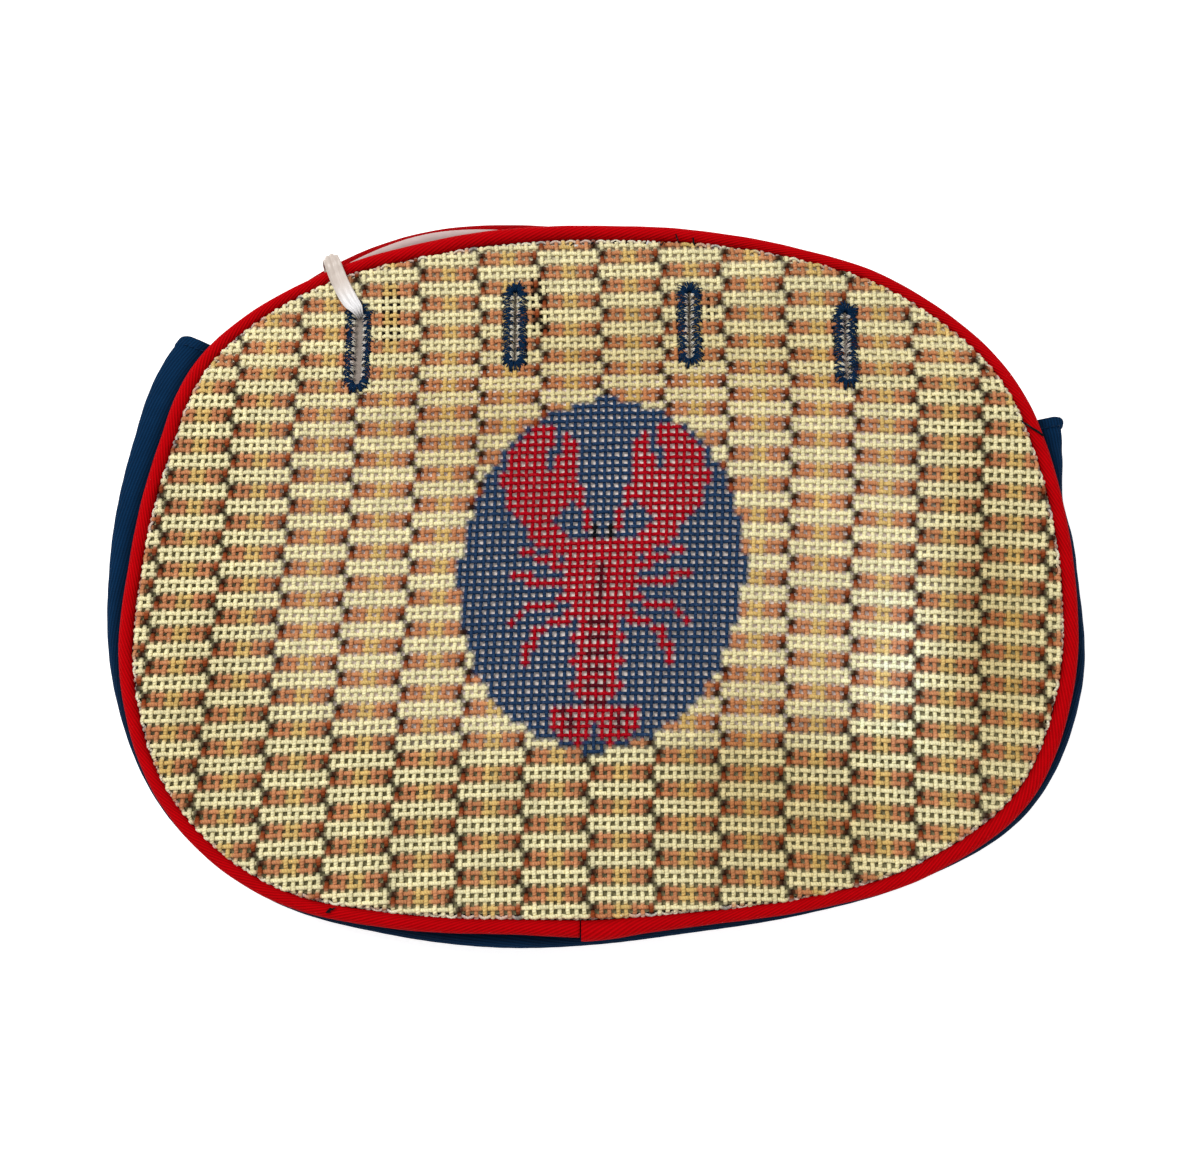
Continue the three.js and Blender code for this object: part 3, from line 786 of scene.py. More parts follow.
TURNED_UNDER = 2.0
cut, _ = outline(FRONT, rim_turn, around(CANVAS, rim_turn) - TURNED_UNDER)
cut_wide, cut_high = np.ptp(cut, axis=0)
split = mesh_place(0.0, 2.5)[1] - cut[:, 1].min()
upper_cut = np.stack([cut[:, 0], np.maximum(cut[:, 1], cut[:, 1].min() + split)], -1)
upper_share = area_inside(upper_cut) / area_inside(cut)
for piece, other, height, share in (
        (canvas_pieces[0], canvas_pieces[2], cut_high - split, upper_share),
        (canvas_pieces[1], canvas_pieces[3], split, 1 - upper_share)):
    height * MM
    area_inside(cut) * share * MM**2
print("canvas cut", round(cut_wide), "x", round(cut_high), "mm")

# %% [markdown]
# ## The linings
# A thin cloth lines the front and the back. A disc of cloth could be a fan of triangles, but
# those crowd together at the middle and crease there. A square grid pulled round into the
# oval has no such point. The back lining is turned up over the back piping along the mouth,
# which is the pale strip that shows behind the front's edge. The front lining's slits lie a
# little to the right of the canvas's, so that dark patches show in the mesh beside three of the
# buttonholes, where the back lining below is painted dark as shade. Whole lining shows behind
# the buttonholes, with painted shade under each slit. Booleans cut the front lining's slits.

# %% A grid pulled round
def round_grid(count, crowd):
    """Angles and shares of the way out for a square grid pulled into a disc. crowd above 1
    brings its lines closer together near the edge."""
    t = np.linspace(-1, 1, count)
    t = np.sign(t) * (1 - (1 - np.abs(t)) ** crowd)
    a, b = np.meshgrid(t, t, indexing="ij")
    far = np.maximum(np.abs(a), np.abs(b))
    safe = np.where(far > 0, far, 1)
    angle = np.where(np.abs(a) >= np.abs(b), b / safe * 45 * np.sign(a) + np.where(a < 0, 180, 0),
                     90 * np.sign(b) - a / safe * 45 * np.sign(b))
    return np.where(far > 0, angle, 0.0), far


def oval_points(column, count, inset, crowd=1.6):
    angle, share = round_grid(count, crowd)
    points, _ = outline(column, angle, inset(angle) if callable(inset) else inset)
    return points[..., 0] * share, points[..., 1] * share, angle, share


# %% The front lining
LINING_DROP = 1.5  # its face lies this far below the canvas's
LINING_THICK = 0.5
LINING_INSIDE = 0.7  # from the canvas's turn to the lining's edge


def front_lining_inset(degrees):
    return around(CANVAS, degrees) + LINING_INSIDE


x, y, _, _ = oval_points(FRONT, 90, front_lining_inset)
sag = 0.12 * np.sin(x / 9.0 + y / 23.0) * np.sin(y / 11.0)
lining_front = cloth("lining_front", np.stack([x, y, level(x, y) - LINING_DROP + sag], -1),
                     LINING_THICK)
LINING_SLITS = [
    # x, y, half length, turn in degrees, half width: beside the canvas's slits, and open
    (-54.3, 66.6, 8.6, 1.0, 2.6),
    (-15.9, 68.6, 8.6, 4.0, 2.1),
    (28.7, 67.8, 3.6, 2.0, 1.0),
]


PLUG_BASE, PLUG_TOP = 6.0, 30.0  # from under the front lining to over the canvas


def slit_plug(hole):
    """An upright plug of a slit's shape, to cut with."""
    turned = np.radians(np.arange(0, 360, 15))
    across = hole[4] * np.cos(turned)
    along = hole[4] * np.sin(turned) + np.sign(np.sin(turned)) * (hole[2] - hole[4])
    x, y = from_slit(hole, along, across)
    count = len(turned)
    points = np.concatenate([np.stack([x, y, np.full(count, z)], -1) for z in (PLUG_BASE, PLUG_TOP)])
    k = np.arange(count)
    walls = np.stack([k, (k + 1) % count, (k + 1) % count + count, k + count], -1)
    return fill_mesh("plug", points, [walls, k[None, ::-1], k[None] + count])


def cut_slits(piece):
    for hole in LINING_SLITS:
        plug = slit_plug(hole)
        cut_out = piece.modifiers.new("slit", "BOOLEAN")
        cut_out.operation = "DIFFERENCE"
        cut_out.solver = "EXACT"
        cut_out.object = plug
        bpy.ops.object.select_all(action="DESELECT")
        bpy.context.view_layer.objects.active = piece
        piece.select_set(True)
        bpy.ops.object.modifier_apply(modifier=cut_out.name)
        bpy.data.objects.remove(plug)


cut_slits(lining_front)

# %% The back lining, turned up along the mouth
BACK_LINING = 1.9
MOUTH = (21.5, 147.0)  # a little inside the gusset's ends, between which the mouth is open
MOUTH_FADE = 12.0  # degrees from each of these to where it is fully open


def open_mouth(degrees):
    """1 along the mouth and 0 where the gusset joins the two panels."""
    degrees = np.mod(degrees, 360)
    return smooth((degrees - MOUTH[0]) / MOUTH_FADE) * smooth((MOUTH[1] - degrees) / MOUTH_FADE)


CURL_AT, CURL_REACH, CURL_UP, CURL_OUT = 117.0, 16.0, 2.0, 0.7  # the back's edge curls up here


def curl(degrees):
    return np.exp(-(((np.mod(degrees, 360) - CURL_AT) / CURL_REACH) ** 2))


def back_inset(degrees):
    return 5.4 - open_mouth(degrees) * (2.0 + 1.7 * curl(degrees))


x, y, angle, share = oval_points(BACK, 90, back_inset, 2.0)
inwards = (1 - share) * np.hypot(x, y) / np.maximum(share, 0.01) + back_inset(angle)
rise = open_mouth(angle) * 2.3 * smooth((6.6 - inwards) / 4.2)
ripple = 0.2 * np.sin(x / 14.0 - y / 19.0) * (1 - share**4)
near_edge = curl(angle) * smooth(1 - (inwards - 1.5) / 14)
outwards = 1 + CURL_OUT * near_edge / 95
z = BACK_LINING + rise + ripple + CURL_UP * near_edge
lining_back = cloth("lining_back", np.stack([x * outwards, y * outwards, z], -1), LINING_THICK)

# %% The lining's finish
lining_cloth = Finish("lining_cloth")
where = lining_cloth.place()
right = lining_cloth.parts(where)
up, high = right.out("Y"), right.out("Z")
threads = lining_cloth.math("SINE", right * 16000.0) * lining_cloth.math("SINE", up * 16000.0)
slub = lining_cloth.noise(where, 400.0, 3.0)
# Painted light and shade on the front lining, which lies at one depth here: near white in an oval
# round the middle, where the real lining lies close under the mesh, and darker olive further out, as
# the shade on a lining lying deeper; towards the mouth it is pale cream.
out = (right / 0.076) ** 4.0 + ((up - 0.003) / 0.045) ** 4.0
out = lining_cloth.math("SQRT", lining_cloth.math("SQRT", out))
dim = lining_cloth.steps(out + 0.12 * lining_cloth.noise(where, 30.0), 0.98, 1.28)
mouth = lining_cloth.steps(up, 0.040, 0.056)
below = lining_cloth.blend(mouth, colour(146, 140, 102), colour(220, 210, 182))
ground = lining_cloth.blend(dim, colour(254, 240, 232), below)
# Painted shade: under each buttonhole the lining is darker, as the shaded inside of the pocket would
# show through the slit.
SHADE_IN_SLITS = [
    # half width, colour: the painted shade on the lining between the two edges of each slit
    (1.7, colour(150, 138, 128)), (0.42, colour(112, 102, 90)),
    (0.42, colour(112, 102, 90)), (0.8, colour(166, 154, 144)),
]
for hole, (half, slit_shade) in zip(BUTTONHOLES, SHADE_IN_SLITS):
    beyond, beside = on_slit(hole, right / MM - MIDDLE[0], up / MM - MIDDLE[1])
    beyond, beside = beyond / (hole[2] - 2.5), beside / half
    apart = lining_cloth.math("SQRT", beside ** 2.0 + beyond ** 4.0)
    ground = lining_cloth.blend(lining_cloth.steps(apart, 0.8, 1.2), slit_shade, ground)
# Painted shade: the back lining is dark below the turned-up strip, as the shaded inside of the
# closed pocket, which shows black through the front lining's slits; the turned-up strip is pinkish
# grey.
TURNED_UP, FRONT_LINING = (0.0030, 0.0052), (0.0075, 0.0085)  # heights where each one starts
turned_up = lining_cloth.steps(high, *TURNED_UP)
inside = lining_cloth.blend(turned_up, colour(98, 88, 78), colour(208, 186, 182))
ground = lining_cloth.blend(lining_cloth.steps(high, *FRONT_LINING), inside, ground)
lining_tone = lining_cloth.lit(ground, 0.88 + 0.2 * slub)
lining_cloth.set(Base_Color=lining_tone, Roughness=0.85)
lining_cloth.bump(0.5 * threads + slub, 0.00005)
wear(lining_front, lining_cloth, "lining", "front_lining")
wear(lining_back, lining_cloth, "lining", "back_lining")
front_cut, _ = outline(FRONT, rim_turn, front_lining_inset(rim_turn))
back_cut, _ = outline(BACK, rim_turn, back_inset(rim_turn) - 0.9 * open_mouth(rim_turn))

# %% [markdown]
# ## The pipings
# Piping is a cord wrapped in a strip of twill cut on the bias, so its ribs wind round it. The
# ribs are finer than a millimetre and over half a metre of cord is seen, so they are a bump
# that follows the tube's own map. The cord's slight lumps and the lap where its two ends meet
# at the bottom are in the mesh, because they change its outline.

# %% Two cords in bias twill
LAP_ANGLE, BACK_LAP_ANGLE = 267.0, 262.0
LAP_SLACK = 0.1
LAP_STEP, LAP_FADE = 0.9, 12.0


def piping(name, column, lap_angle, radius, height, steps=720, sides=20):
    """A cord whose outer edge follows the outline. Its lapped end is wider than the rest."""
    degrees = np.linspace(lap_angle + LAP_SLACK, lap_angle + 360 - LAP_SLACK, steps)
    proud = LAP_STEP * smooth(1 - (degrees - degrees[0]) / LAP_FADE)
    lumps = 0.04 * np.sin(np.radians(degrees) * 23 + 1.3) + 0.02 * np.sin(np.radians(degrees) * 61)
    thick = radius(degrees) + proud / 2
    flat, _ = outline(column, degrees, thick - proud - lumps)
    z = np.maximum(height(flat[:, 0], flat[:, 1], degrees), thick + 0.05)  # never in the table
    centre = np.concatenate([flat, z[:, None]], 1)
    up = np.broadcast_to([0.0, 0.0, 1.0], centre.shape)
    return tubes(name, [steps], centre, up, thick, thick, sides)


def front_radius(degrees):
    """The front's cord is squeezed thinner where the canvas reaches further over it."""
    return np.clip(around(CANVAS, degrees) / 2 - 0.15, 1.6, PIPING_RADIUS)


front_piping = piping("piping_front", FRONT, LAP_ANGLE, front_radius,
                      lambda x, y, degrees: level(x, y) - PIPING_DROP)
back_piping = piping("piping_back", BACK + CURL_OUT * curl(np.arange(0, 360, 15)), BACK_LAP_ANGLE,
                     lambda degrees: np.full(len(degrees), PIPING_RADIUS),
                     lambda x, y, degrees: PIPING_RADIUS + CURL_UP * curl(degrees))

# %% The red twill's finish
red_twill = Finish("red_twill")
where = red_twill.place()
along, around_cord = red_twill.map()
RIB_ALONG, RIBS_ROUND = 1.9, 14.0  # a rib's length along the cord, and ribs met in going round it
rib = red_twill.wave(along / RIB_ALONG - around_cord * RIBS_ROUND)
soft = red_twill.noise(where, 260.0, 3.0)
fluff = red_twill.noise(where, 3000.0, 2.0)
# Painted shade round the cord: darkest on its inner side, under the canvas's edge, lightest between
# its top and its outer side; the back cord is painted darker still, in the front's shade.
shade = 0.74 + 0.26 * red_twill.math("COSINE", (around_cord - 0.17) * (2 * math.pi))
high = red_twill.parts(where).out("Z")
shade = shade * (0.72 + 0.28 * red_twill.steps(high, 0.0075, 0.0095))  # the back's is shaded
red_light = (0.62 + 0.40 * rib + 0.22 * soft) * shade
red_tone = red_twill.lit(colour(182, 0, 7), red_light)
red_twill.set(Base_Color=red_tone, Roughness=0.8, Specular_IOR_Level=0.03)
red_twill.bump(rib + 0.35 * fluff, 0.00014)
wear(front_piping, red_twill, "piping", "front_piping")
wear(back_piping, red_twill, "piping", "back_piping")

# %% [markdown]
# ## The gusset
# The gusset is a strip of navy twill, 22 mm wide between its seams, that runs round the sides
# and the bottom. The cover lies flat, so the strip has to fold: out past the front's edge and
# in again to a tuck. A cloth simulation would fold it wherever its forces led, but here it is
# known where the strip bulges. So each section is a curve of the strip's own width, with its
# fold where the table has it, and the tuck takes up whatever width is left.

# %% Sections of the strip
GUSSET_WIDTH = 22.0
GUSSET_START, GUSSET_END = 18.3, -209.0
SEAM_HIGH, SEAM_LOW = 3.75, 4.35  # below the canvas's face and above the table
OUTER_FOLD = [(1.0, 0.86), (0.4, 0.62)]  # inside the fold, share of the height
TUCK_SHARE = 0.3
STRIP_RADIUS = 105.0  # about, to turn its degrees into millimetres


def curve_through(controls, steps):
    """Smooth curves through rows of control points, with the same number of points each."""
    padded = np.concatenate([2 * controls[:, :1] - controls[:, 1:2], controls,
                             2 * controls[:, -1:] - controls[:, -2:-1]], 1)
    spans = controls.shape[1] - 1
    at = np.linspace(0, spans, steps)
    span = np.minimum(at.astype(int), spans - 1)
    t = (at - span)[None, :, None]
    p0, p1, p2, p3 = (padded[:, span + k] for k in range(4))
    return 0.5 * (2 * p1 + t * (p2 - p0 + t * (2 * p0 - 5 * p1 + 4 * p2 - p3
                                               + t * (3 * p1 - p0 - 3 * p2 + p3))))


def strip_length(curves):
    return np.linalg.norm(np.diff(curves, axis=1), axis=-1).sum(1)


def rounded_corners(degrees):
    """How far the fold falls back at the strip's two ends, whose corners are round."""
    lost = np.zeros(len(degrees))
    for end, radius in ((GUSSET_START, 1.5), (GUSSET_END, 0.6)):
        near = np.clip(radius - np.radians(np.abs(degrees - end)) * STRIP_RADIUS, 0, radius)
        lost += radius - np.sqrt(radius**2 - near**2)
    return lost


def gusset_sections(degrees, steps):
    rim, _ = outline(FRONT, degrees, PIPING_RADIUS)
    top = level(rim[:, 0], rim[:, 1]) - SEAM_HIGH
    slips_in = 1.5 * np.exp(-(((degrees - 8) / 4) ** 2))  # behind the piping, for a while
    fold = around(FOLD, degrees) - rounded_corners(degrees) - slips_in
    seam = np.full(len(degrees), -PIPING_RADIUS)

    def height(share):
        return SEAM_LOW + (top - SEAM_LOW) * share

    def curves(tuck):
        rows = [(seam, height(1))]
        rows += [(fold - inside, height(share)) for inside, share in OUTER_FOLD]
        rows += [(-tuck, height(TUCK_SHARE)), (seam, height(0))]
        return curve_through(np.stack([np.stack(row, -1) for row in rows], 1), steps)

    low, high = np.full(len(degrees), -1.0), np.full(len(degrees), 12.0)
    for _ in range(20):
        middle = (low + high) / 2
        short = strip_length(curves(middle)) < GUSSET_WIDTH
        low, high = np.where(short, middle, low), np.where(short, high, middle)
    return curves(low)


# %% The strip
STRIP_ROWS, STRIP_COLUMNS = 560, 22
share = np.linspace(0, 1, STRIP_ROWS)
share = share - 0.6 * np.sin(2 * np.pi * share) / (2 * np.pi)  # closer together at both ends
degrees = GUSSET_START + (GUSSET_END - GUSSET_START) * share
sections = gusset_sections(degrees, STRIP_COLUMNS)
down = np.linspace(0, 1, STRIP_COLUMNS)[None]
length_at = np.radians(GUSSET_START - degrees)[:, None] * STRIP_RADIUS
crumpled = 0.04 + 0.3 * smooth(1 - length_at / 12)  # most of all near the right-hand end
pucker = crumpled * np.sin(length_at / 0.9 + 3 * np.sin(down * 7) + 2.0 * np.sin(length_at / 31.0))
pucker = (pucker + 0.10 * np.sin(length_at / 8.1 + 1.0)) * np.sin(np.pi * down)
askew = 1.0 * np.clip(1 - 3 * down, 0, 1) * smooth(1 - (degrees - GUSSET_END)[:, None] / 6)
askew = askew + 0.4 * np.clip(3 * down, 0, 1) * smooth(1 - (GUSSET_START - degrees)[:, None] / 6)
flat, outward = outline(FRONT, degrees[:, None] - askew, -(sections[..., 0] + 0.3 * pucker))
strip = np.concatenate([flat, (sections[..., 1] + pucker)[..., None]], -1)
from_end = np.minimum(np.abs(degrees - GUSSET_START), np.abs(degrees - GUSSET_END))
hem = 0.55 + 0.55 * smooth((1.35 - from_end) / 0.25)
gusset = cloth("gusset_strip", strip, np.repeat(hem[:, None], STRIP_COLUMNS, 1))
print("gusset", round(run_length(strip[:, 0])), "mm long")

# %% The navy twill's finish
NAVY_CLOTH = colour(7, 40, 71)


def navy_twill(title, slant, spacing, base, seam=0.0):
    """Twill with ribs at a slant to the strip's length, and with painted shade for a while past a
    seam, where the piping shadows it.
    """
    made = Finish(title)
    where = made.place()
    along, across = made.map()
    rib = made.wave((across + along * slant) / spacing)
    cross = made.wave(along / 0.42)
    soft = made.noise(where, 180.0, 3.0)
    fluff = made.noise(where, 2600.0, 2.0)
    light = 0.42 + 0.55 * rib + 0.12 * cross + 0.34 * soft
    # painted shade: darker near the seam, in the piping's shadow
    if seam:
        light = light * (0.3 + 0.7 * made.steps(across, 0.3 * seam, seam))
    made.set(Base_Color=made.lit(base, light), Roughness=0.85, Specular_IOR_Level=0.03)
    made.bump(rib + 0.4 * cross + 0.4 * fluff, 0.00012)
    return made


gusset_twill = navy_twill("gusset_twill", 0.12, 0.85, NAVY_CLOTH, 6.5)
wear(gusset, gusset_twill, "navy_twill", "gusset")

# %% [markdown]
# ## The back panel
# The back is one flat oval of the same twill, lying on the table, with its edge under the back
# piping's seam. It is hardly seen from above, but the part can be turned over, so it is
# finished like the rest.

# %% The back panel
BACK_EDGE = 3.4
x, y, _, _ = oval_points(BACK, 70, BACK_EDGE)
panel_back = cloth("panel_back", np.stack([x, y, np.full(x.shape, 0.5)], -1), 0.8)
wear(panel_back, navy_twill("back_twill", 1.0, 0.9, NAVY_CLOTH), "navy_twill", "back_panel")
panel_cut, _ = outline(BACK, rim_turn, BACK_EDGE)

# %% [markdown]
# ## The buttonholes' stitching
# A machine has sewn close zigzags down both sides of each slit and fanned them out at its ends,
# and the cut canvas has frayed into the slit. A band with a bump would have a smooth edge, while
# here every stitch ends somewhere else. So each stitch is a strand of its own, which rises out
# of the canvas, crosses the band and dives in again.

# %% Strands over the canvas
STRAND, STRAND_HIGH = 0.15, 0.13  # half a strand's width and thickness
STITCH_STEP = 0.3  # from one stitch to the next
BAND = (0.4, 2.95)  # a band's inner and outer edges, from the middle of the slit
FAN_CENTRE = 3.2  # from a slit's end to the middle of the fan of stitches round it
STITCH_SHAPE = [(0.0, -0.5), (0.14, 0.62), (0.5, 0.98), (0.86, 0.66), (1.0, -0.5)]
FIBRE_SHAPE = [(0.0, 0.3), (0.35, 0.62), (0.7, 0.5), (1.0, 0.05)]  # share of the way, lift


def strands(starts, ends, shape, lift):
    """Runs of points from starts to ends on the front, at a height for each share of the way."""
    share, height = np.array(shape).T
    x, y = (a[:, None] + (b - a)[:, None] * share for a, b in zip(starts, ends))
    points, square, _ = lay_on_front(x, y, height + lift[:, None])
    return points.reshape(-1, 3), square.reshape(-1, 3), [len(share)] * len(x)


def joined(parts):
    """The runs of several lots as one lot."""
    return [np.concatenate([part[k] for part in parts]) for k in range(3)]


def zigzag(hole, side, draw):
    """The starts and ends of the stitches down one side of a slit."""
    reach = hole[2] - FAN_CENTRE
    along = np.arange(-reach, reach, STITCH_STEP)
    count = len(along)
    pushed = np.maximum(np.cos(2 * np.pi * along / PITCH + side), 0)  # by the canvas's threads
    inner = max(BAND[0], hole[4] - 0.1) + 0.85 * pushed + 0.2 * draw.standard_normal(count)
    outer = BAND[1] + 0.3 * (hole[4] - 0.55) + 0.32 * draw.standard_normal(count)
    lean = np.where(np.arange(count) % 2, 0.42, -0.42) + 0.22 * draw.standard_normal(count)
    kept = draw.random(count) > 0.1
    starts = from_slit(hole, along - lean, side * inner)
    ends = from_slit(hole, along + lean, side * outer)
    return [a[kept] for a in starts], [b[kept] for b in ends]


def fan(hole, end, draw):
    """The same for the stitches round one end of a slit."""
    turned = np.radians(np.arange(-16, 197, 6.0))
    turned = turned + 0.09 * draw.standard_normal(len(turned))
    near = 0.5 + 0.3 * draw.random(len(turned))
    far = 2.85 + 0.55 * draw.standard_normal(len(turned))
    centre = hole[2] - FAN_CENTRE

    def spot(radius):
        return from_slit(hole, end * (centre + radius * np.sin(turned)), radius * np.cos(turned))

    return spot(near), spot(far)


# %% Four stitched buttonholes
navy_sewing = Finish("navy_sewing")
where = navy_sewing.place()
along, around_thread = navy_sewing.map()
twist = navy_sewing.math("SINE", along * (2 * math.pi / 0.5) + around_thread * 2 * math.pi)
dyed = navy_sewing.noise(where, 1100.0, 2.0)
navy_tone = navy_sewing.lit(colour(8, 42, 74), 0.25 + 1.15 * dyed + 0.2 * twist)
navy_sewing.set(Base_Color=navy_tone, Roughness=0.6, Specular_IOR_Level=0.06)
navy_sewing.bump(twist, 0.00004)

draw = np.random.default_rng(29)
for number, hole in enumerate(BUTTONHOLES, 1):
    laid = [strands(*ends, STITCH_SHAPE, 0.12 * draw.random(len(ends[0][0])))
            for ends in (zigzag(hole, -1, draw), zigzag(hole, 1, draw),
                         fan(hole, -1, draw), fan(hole, 1, draw))]
    points, square, lengths = joined(laid)
    name = f"buttonhole_stitches_{number}"
    stitches = tubes(name, lengths, points, square, STRAND, STRAND_HIGH)
    wear(stitches, navy_sewing, "navy_thread", f"buttonhole_{number}")

# %% Frayed ends of the canvas
FIBRES = 9  # fibres that each cut thread comes apart into, on either side


def cut_threads(hole):
    """Where horizontal threads meet a slit: the numbers of their crossings, how far along."""
    i = np.linspace(FIRST_I, LAST_I, 10 * (LAST_I - FIRST_I) + 1)
    j = np.arange(FIRST_J, LAST_J + 1)
    along, across = on_slit(hole, *mesh_place(i[:, None], j[None]))
    nearest = np.abs(across).argmin(0)
    along = along[nearest, np.arange(len(j))]
    met = np.abs(along) < hole[2] - FAN_CENTRE + 0.4
    return i[nearest][met], j[met], along[met]


fray_parts, fray_tints = [], []
for hole in BUTTONHOLES:
    numbers_i, numbers_j, at = cut_threads(hole)
    for side in (-1, 1):
        i = np.repeat(np.rint(numbers_i).astype(int) + side, FIBRES)
        j = np.repeat(numbers_j, FIBRES)
        count = len(j)
        root = np.repeat(at, FIBRES) + 0.22 * draw.standard_normal(count)
        tip = root + 0.36 * draw.standard_normal(count)
        rooted = max(1.35, hole[4] + 0.75) + 0.25 * draw.random(count)
        reached = max(0.16, hole[4] - 0.6) + 0.4 * draw.random(count)
        fray_parts.append(strands(from_slit(hole, root, side * rooted),
                                  from_slit(hole, tip, side * reached),
                                  FIBRE_SHAPE, 0.3 * draw.random(count)))
        paint = PALETTE[chart[i - FIRST_I, j - FIRST_J]]
        bare = draw.uniform(0.6, 1.0, (count, 1))
        fray_tints.append(np.repeat(paint + (PALETTE[INK["bare"]] - paint) * bare, 4, 0))
points, square, lengths = joined(fray_parts)
canvas_fray = tubes("canvas_fray", lengths, points, square, 0.1, 0.07, 5,
                    np.concatenate(fray_tints))
wear(canvas_fray, painted_thread, "painted_canvas", "front_canvas")

# %% [markdown]
# ## The ribbon
# A loop of white satin ribbon comes up out of the first buttonhole, lies on the canvas, goes
# over the piping and turns back into the mouth. Its route has to keep close to the solid's, so
# a smooth curve goes through a short list of points. Where the ribbon is squeezed narrow in the
# slit, its width has to go somewhere, so it takes pleats that are deeper the narrower it is.

# %% A strip of satin
RIBBON_SLIT, RIBBON_OUTERMOST = np.array([-62.4, 65.8]), np.array([-70.1, 81.6])
RIBBON_PATH = np.array([
    # along, lift over the front's face, width, aside
    (0, -5, 1.6, 0), (0, -2, 1.6, 0), (0, 0.7, 1.8, 0), (1.2, 1.8, 3.2, -0.1),
    (3.4, 1.7, 4.2, -0.6), (8, 1.4, 4.4, -0.9), (12.0, 1.6, 4.4, -0.8), (15.6, 1.7, 4.3, -0.5),
    (17.6, -0.4, 4.0, -0.5), (16.6, -3.4, 4.2, -1.2), (12, -4.7, 4.4, -1.8), (7, -4.3, 4.4, -1.4),
    (2, -3.9, 4.0, 0),
])
RIBBON_WIDE, RIBBON_THICK = 4.4, 0.2

route = curve_through(RIBBON_PATH[None], 150)[0]
way = unit(RIBBON_OUTERMOST - RIBBON_SLIT)
flat = RIBBON_SLIT + route[:, :1] * way + route[:, 3:] * [way[1], -way[0]]
middle = np.concatenate([flat, (level(*flat.T) + route[:, 1])[:, None]], 1)
sideways = np.array([way[1], -way[0], 0.0])
square = np.cross(unit(np.gradient(middle, axis=0)), sideways)
across = np.linspace(-1, 1, 27)
narrow = np.clip(route[:, 2] / RIBBON_WIDE, 0, 1)
pleats = 0.4 * np.sqrt(1 - narrow**2)[:, None] * np.cos(across * 3 * np.pi)
crease = 0.06 * np.cos(across * 5 + 0.6) * smooth((route[:, :1] - 9) / 6)
tip = np.exp(-(((route[:, :1] - route[:, 0].max()) / 1.1) ** 2))  # the loop's round end
bow = (0.14 - 1.2 * tip) * (1 - across**2) + crease + pleats
spread = across * np.minimum(route[:, 2:3], RIBBON_WIDE) / 2
grid = middle[:, None] + sideways * spread[..., None] + square[:, None] * bow[..., None]
ribbon = cloth("ribbon", grid, RIBBON_THICK)

# %% The satin's finish
satin = Finish("white_satin")
along, across_ribbon = satin.map()
edge = satin.math("ABSOLUTE", across_ribbon - RIBBON_WIDE / 2)
selvedge = satin.steps(edge, 1.8, 2.05)
line = satin.node("ShaderNodeCombineXYZ", None, {"X": along * 0.02, "Y": across_ribbon})
# Painted light and shade on the satin: soft lighter and darker streaks along its fine lengthwise
# folds, and its far part, over the loop, greyer in shade.
streaks = satin.noise(line, 7.0, 3.0)
ribbing = satin.wave(along / 0.4)
shaded = satin.steps(along, 8.0, 17.0)
base = satin.blend(shaded, colour(230, 228, 228), colour(200, 186, 175))
satin_tone = satin.lit(base, 0.72 + 0.42 * streaks - 0.08 * selvedge * ribbing)
satin.set(Base_Color=satin_tone, Roughness=0.32 + 0.2 * selvedge, Sheen_Weight=0.25)
satin.bump(streaks + 0.6 * selvedge * ribbing, 0.00005)
wear(ribbon, satin, "ribbon", "ribbon_loop")

# %% [markdown]
# ## Loose ends
# Handwork is never quite clean. Two dark tufts lie over the top piping, a dark end crosses the
# piping at the right, a small knot sits at the lower left, and a row of stitches holds each of
# the gusset's hems. A short list says where the ends lie, and each is a few strands. They could
# be a particle system, but a handful of strands is quicker to place one by one.

# %% Tufts, tails and a knot
LOOSE_ENDS = [
    # ink, from x, y, to x, y, strands, spread, height
    ("black", 20.4, 85.4, 19.6, 87.8, 4, 0.3, 0.4),
    ("black", 24.6, 84.7, 24.0, 87.0, 4, 0.3, 0.4),
    ("black", 104.7, 34.9, 110.6, 30.9, 3, 0.1, 0.4),
    ("black", -64.0, -84.6, -62.5, -84.0, 6, 0.5, 0.3),
    ("black", -7.8, 84.4, -7.2, 85.3, 2, 0.2, 0.8),
    ("black", -2.6, 84.9, -2.0, 85.6, 2, 0.2, 0.8),
    ("black", 3.2, 85.2, 3.9, 85.8, 2, 0.2, 0.8),
    ("black", 6.6, 85.0, 6.9, 86.0, 3, 0.2, 0.8),
    ("black", 11.4, 85.1, 12.3, 85.6, 3, 0.2, 0.8),
    ("black", 15.4, 84.7, 16.4, 85.2, 2, 0.2, 0.8),
    ("bare", -6.8, 84.2, -5.9, 84.7, 4, 0.3, 0.9),
    ("bare", 12.0, 84.8, 12.4, 85.6, 3, 0.3, 0.9),
]
TAIL_RINGS = 8
tails, tail_inks = [], []
share = np.linspace(0, 1, TAIL_RINGS)
for ink, x0, y0, x1, y1, count, spread, height in LOOSE_ENDS:
    for _ in range(count):
        sway = draw.standard_normal((4, 1)) * spread * np.sin(np.pi * share * (1 + draw.random()))
        x = x0 + (x1 - x0) * share * draw.uniform(0.75, 1.1) + sway[0] * 0.6
        y = y0 + (y1 - y0) * share * draw.uniform(0.75, 1.1) + sway[1] * 0.6
        z = level(x, y) + height + np.abs(sway[2]) * 0.3
        tails.append(np.stack([x, y, z], -1))
        tail_inks.append(INK[ink])
points = np.concatenate(tails)
loose_ends = tubes("loose_ends", [TAIL_RINGS] * len(tails), points,
                   np.broadcast_to([0.0, 0.0, 1.0], points.shape), STRAND, STRAND_HIGH, 6,
                   np.repeat(PALETTE[tail_inks], TAIL_RINGS, 0))
wear(loose_ends, painted_thread, "navy_thread", "front_canvas")

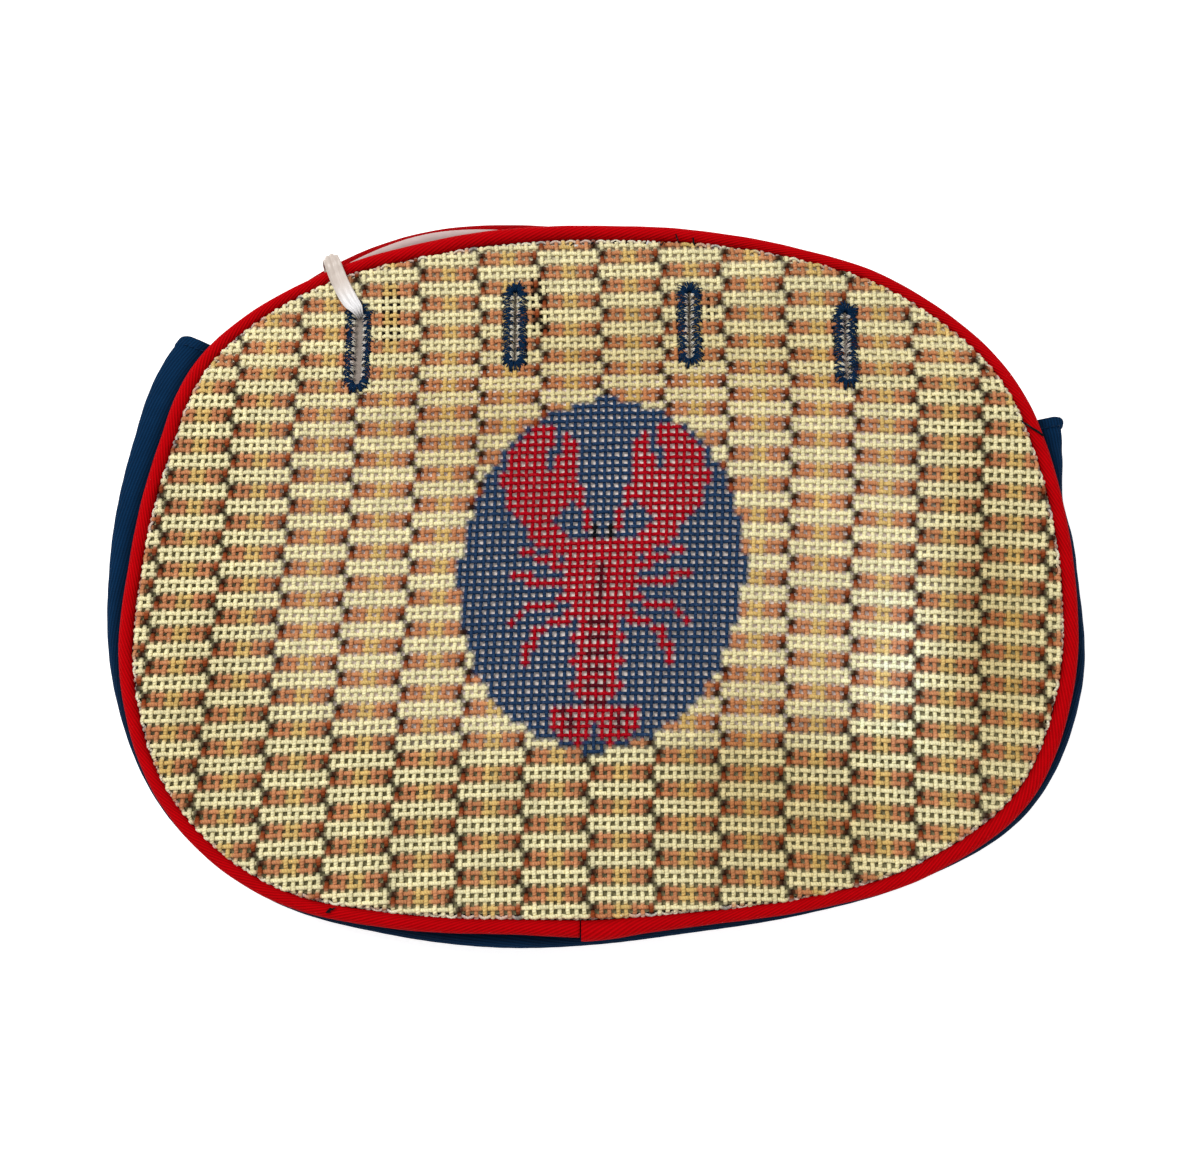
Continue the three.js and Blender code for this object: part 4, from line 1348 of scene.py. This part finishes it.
# %% The gusset's hem stitches
HEM_AT = 1.2  # degrees from each end of the strip
HEM_STITCH, HEM_GAP = 1.1, 0.5
HEM_RINGS, HEM_DIP = 5, np.array([0.15, 0, 0, 0, 0.15])  # a stitch's ends dip into the cloth
HEM_FOLD_CLEAR = 2.2  # no stitch shows so close to the strip's outer fold
facing_out = unit(np.cross(np.gradient(strip, axis=0), np.gradient(strip, axis=1)))
facing_out = facing_out * np.sign(np.sum(facing_out * (strip - [0, 0, 10]), -1, keepdims=True))


def at_lengths(at, lengths, line):
    """The values of a line of rows at some lengths along it."""
    return np.stack([np.interp(at, lengths, line[:, k]) for k in range(3)], -1)


hem_points, hem_ups = [], []
for row in (int(np.abs(degrees - GUSSET_START + HEM_AT).argmin()),
            int(np.abs(degrees - GUSSET_END - HEM_AT).argmin())):
    across_strip = np.append(0, np.cumsum(np.linalg.norm(np.diff(strip[row], axis=0), axis=1)))
    fold_at = across_strip[np.hypot(*strip[row, :, :2].T).argmax()]
    for start in np.arange(1.0, GUSSET_WIDTH - 2.0, HEM_STITCH + HEM_GAP):
        if abs(start + HEM_STITCH / 2 - fold_at) < HEM_FOLD_CLEAR:
            continue
        at = start + HEM_STITCH * np.linspace(0, 1, HEM_RINGS)
        raised = 0.6 + 0.16 * np.sin(np.pi * np.linspace(0, 1, HEM_RINGS)) - HEM_DIP
        spot = at_lengths(at, across_strip, strip[row])
        face = unit(at_lengths(at, across_strip, facing_out[row]))
        for side in (-1, 1):  # the strip's two faces
            hem_points.append(spot + side * face * raised[:, None])
            hem_ups.append(face)
hem_stitches = tubes("hem_stitches", [HEM_RINGS] * len(hem_points), np.concatenate(hem_points),
                     np.concatenate(hem_ups), 0.16, 0.12)
wear(hem_stitches, navy_sewing, "navy_thread", "gusset")

# %% [markdown]
# ## The floor and the lights
# The cover lay on white in soft light from above. A pale floor, a bright even surround and one
# large lamp from the upper left give that: the surround fills the holes of the mesh and the
# lamp lets each thread have a light and a dark side.

# %% The floor
bpy.ops.mesh.primitive_plane_add(size=4.0, location=(0, 0, 0))
floor = bpy.context.object
floor.name = "floor"
floor_finish = Finish("pale_floor").set(Base_Color=colour(246, 246, 246), Roughness=0.9)
floor_finish.set(Emission_Color=(1.0, 1.0, 1.0, 1.0), Emission_Strength=0.6)  # as on a light table
floor.data.materials.append(floor_finish.material)

# %% The lights
world = bpy.data.worlds.new("studio")
world.use_nodes = True
world.node_tree.nodes["Background"].inputs["Color"].default_value = (1.0, 1.0, 1.0, 1.0)
world.node_tree.nodes["Background"].inputs["Strength"].default_value = 0.45
bpy.context.scene.world = world
bpy.context.scene.view_settings.view_transform = "Standard"  # so that white comes out white


def lamp(title, place, size, power):
    """A large square lamp that faces the cover."""
    light = bpy.data.lights.new(title, "AREA")
    light.size = size
    light.energy = power
    holder = bpy.data.objects.new(title, light)
    holder.location = place
    away = np.array(place)
    holder.rotation_euler = (math.acos(away[2] / np.linalg.norm(away)), 0,
                             math.atan2(away[1], away[0]) + math.pi / 2)
    bpy.context.scene.collection.objects.link(holder)


lamp("key", (-0.5, 0.45, 0.9), 0.5, 9.0)
lamp("fill", (0.6, -0.4, 0.9), 0.9, 3.0)
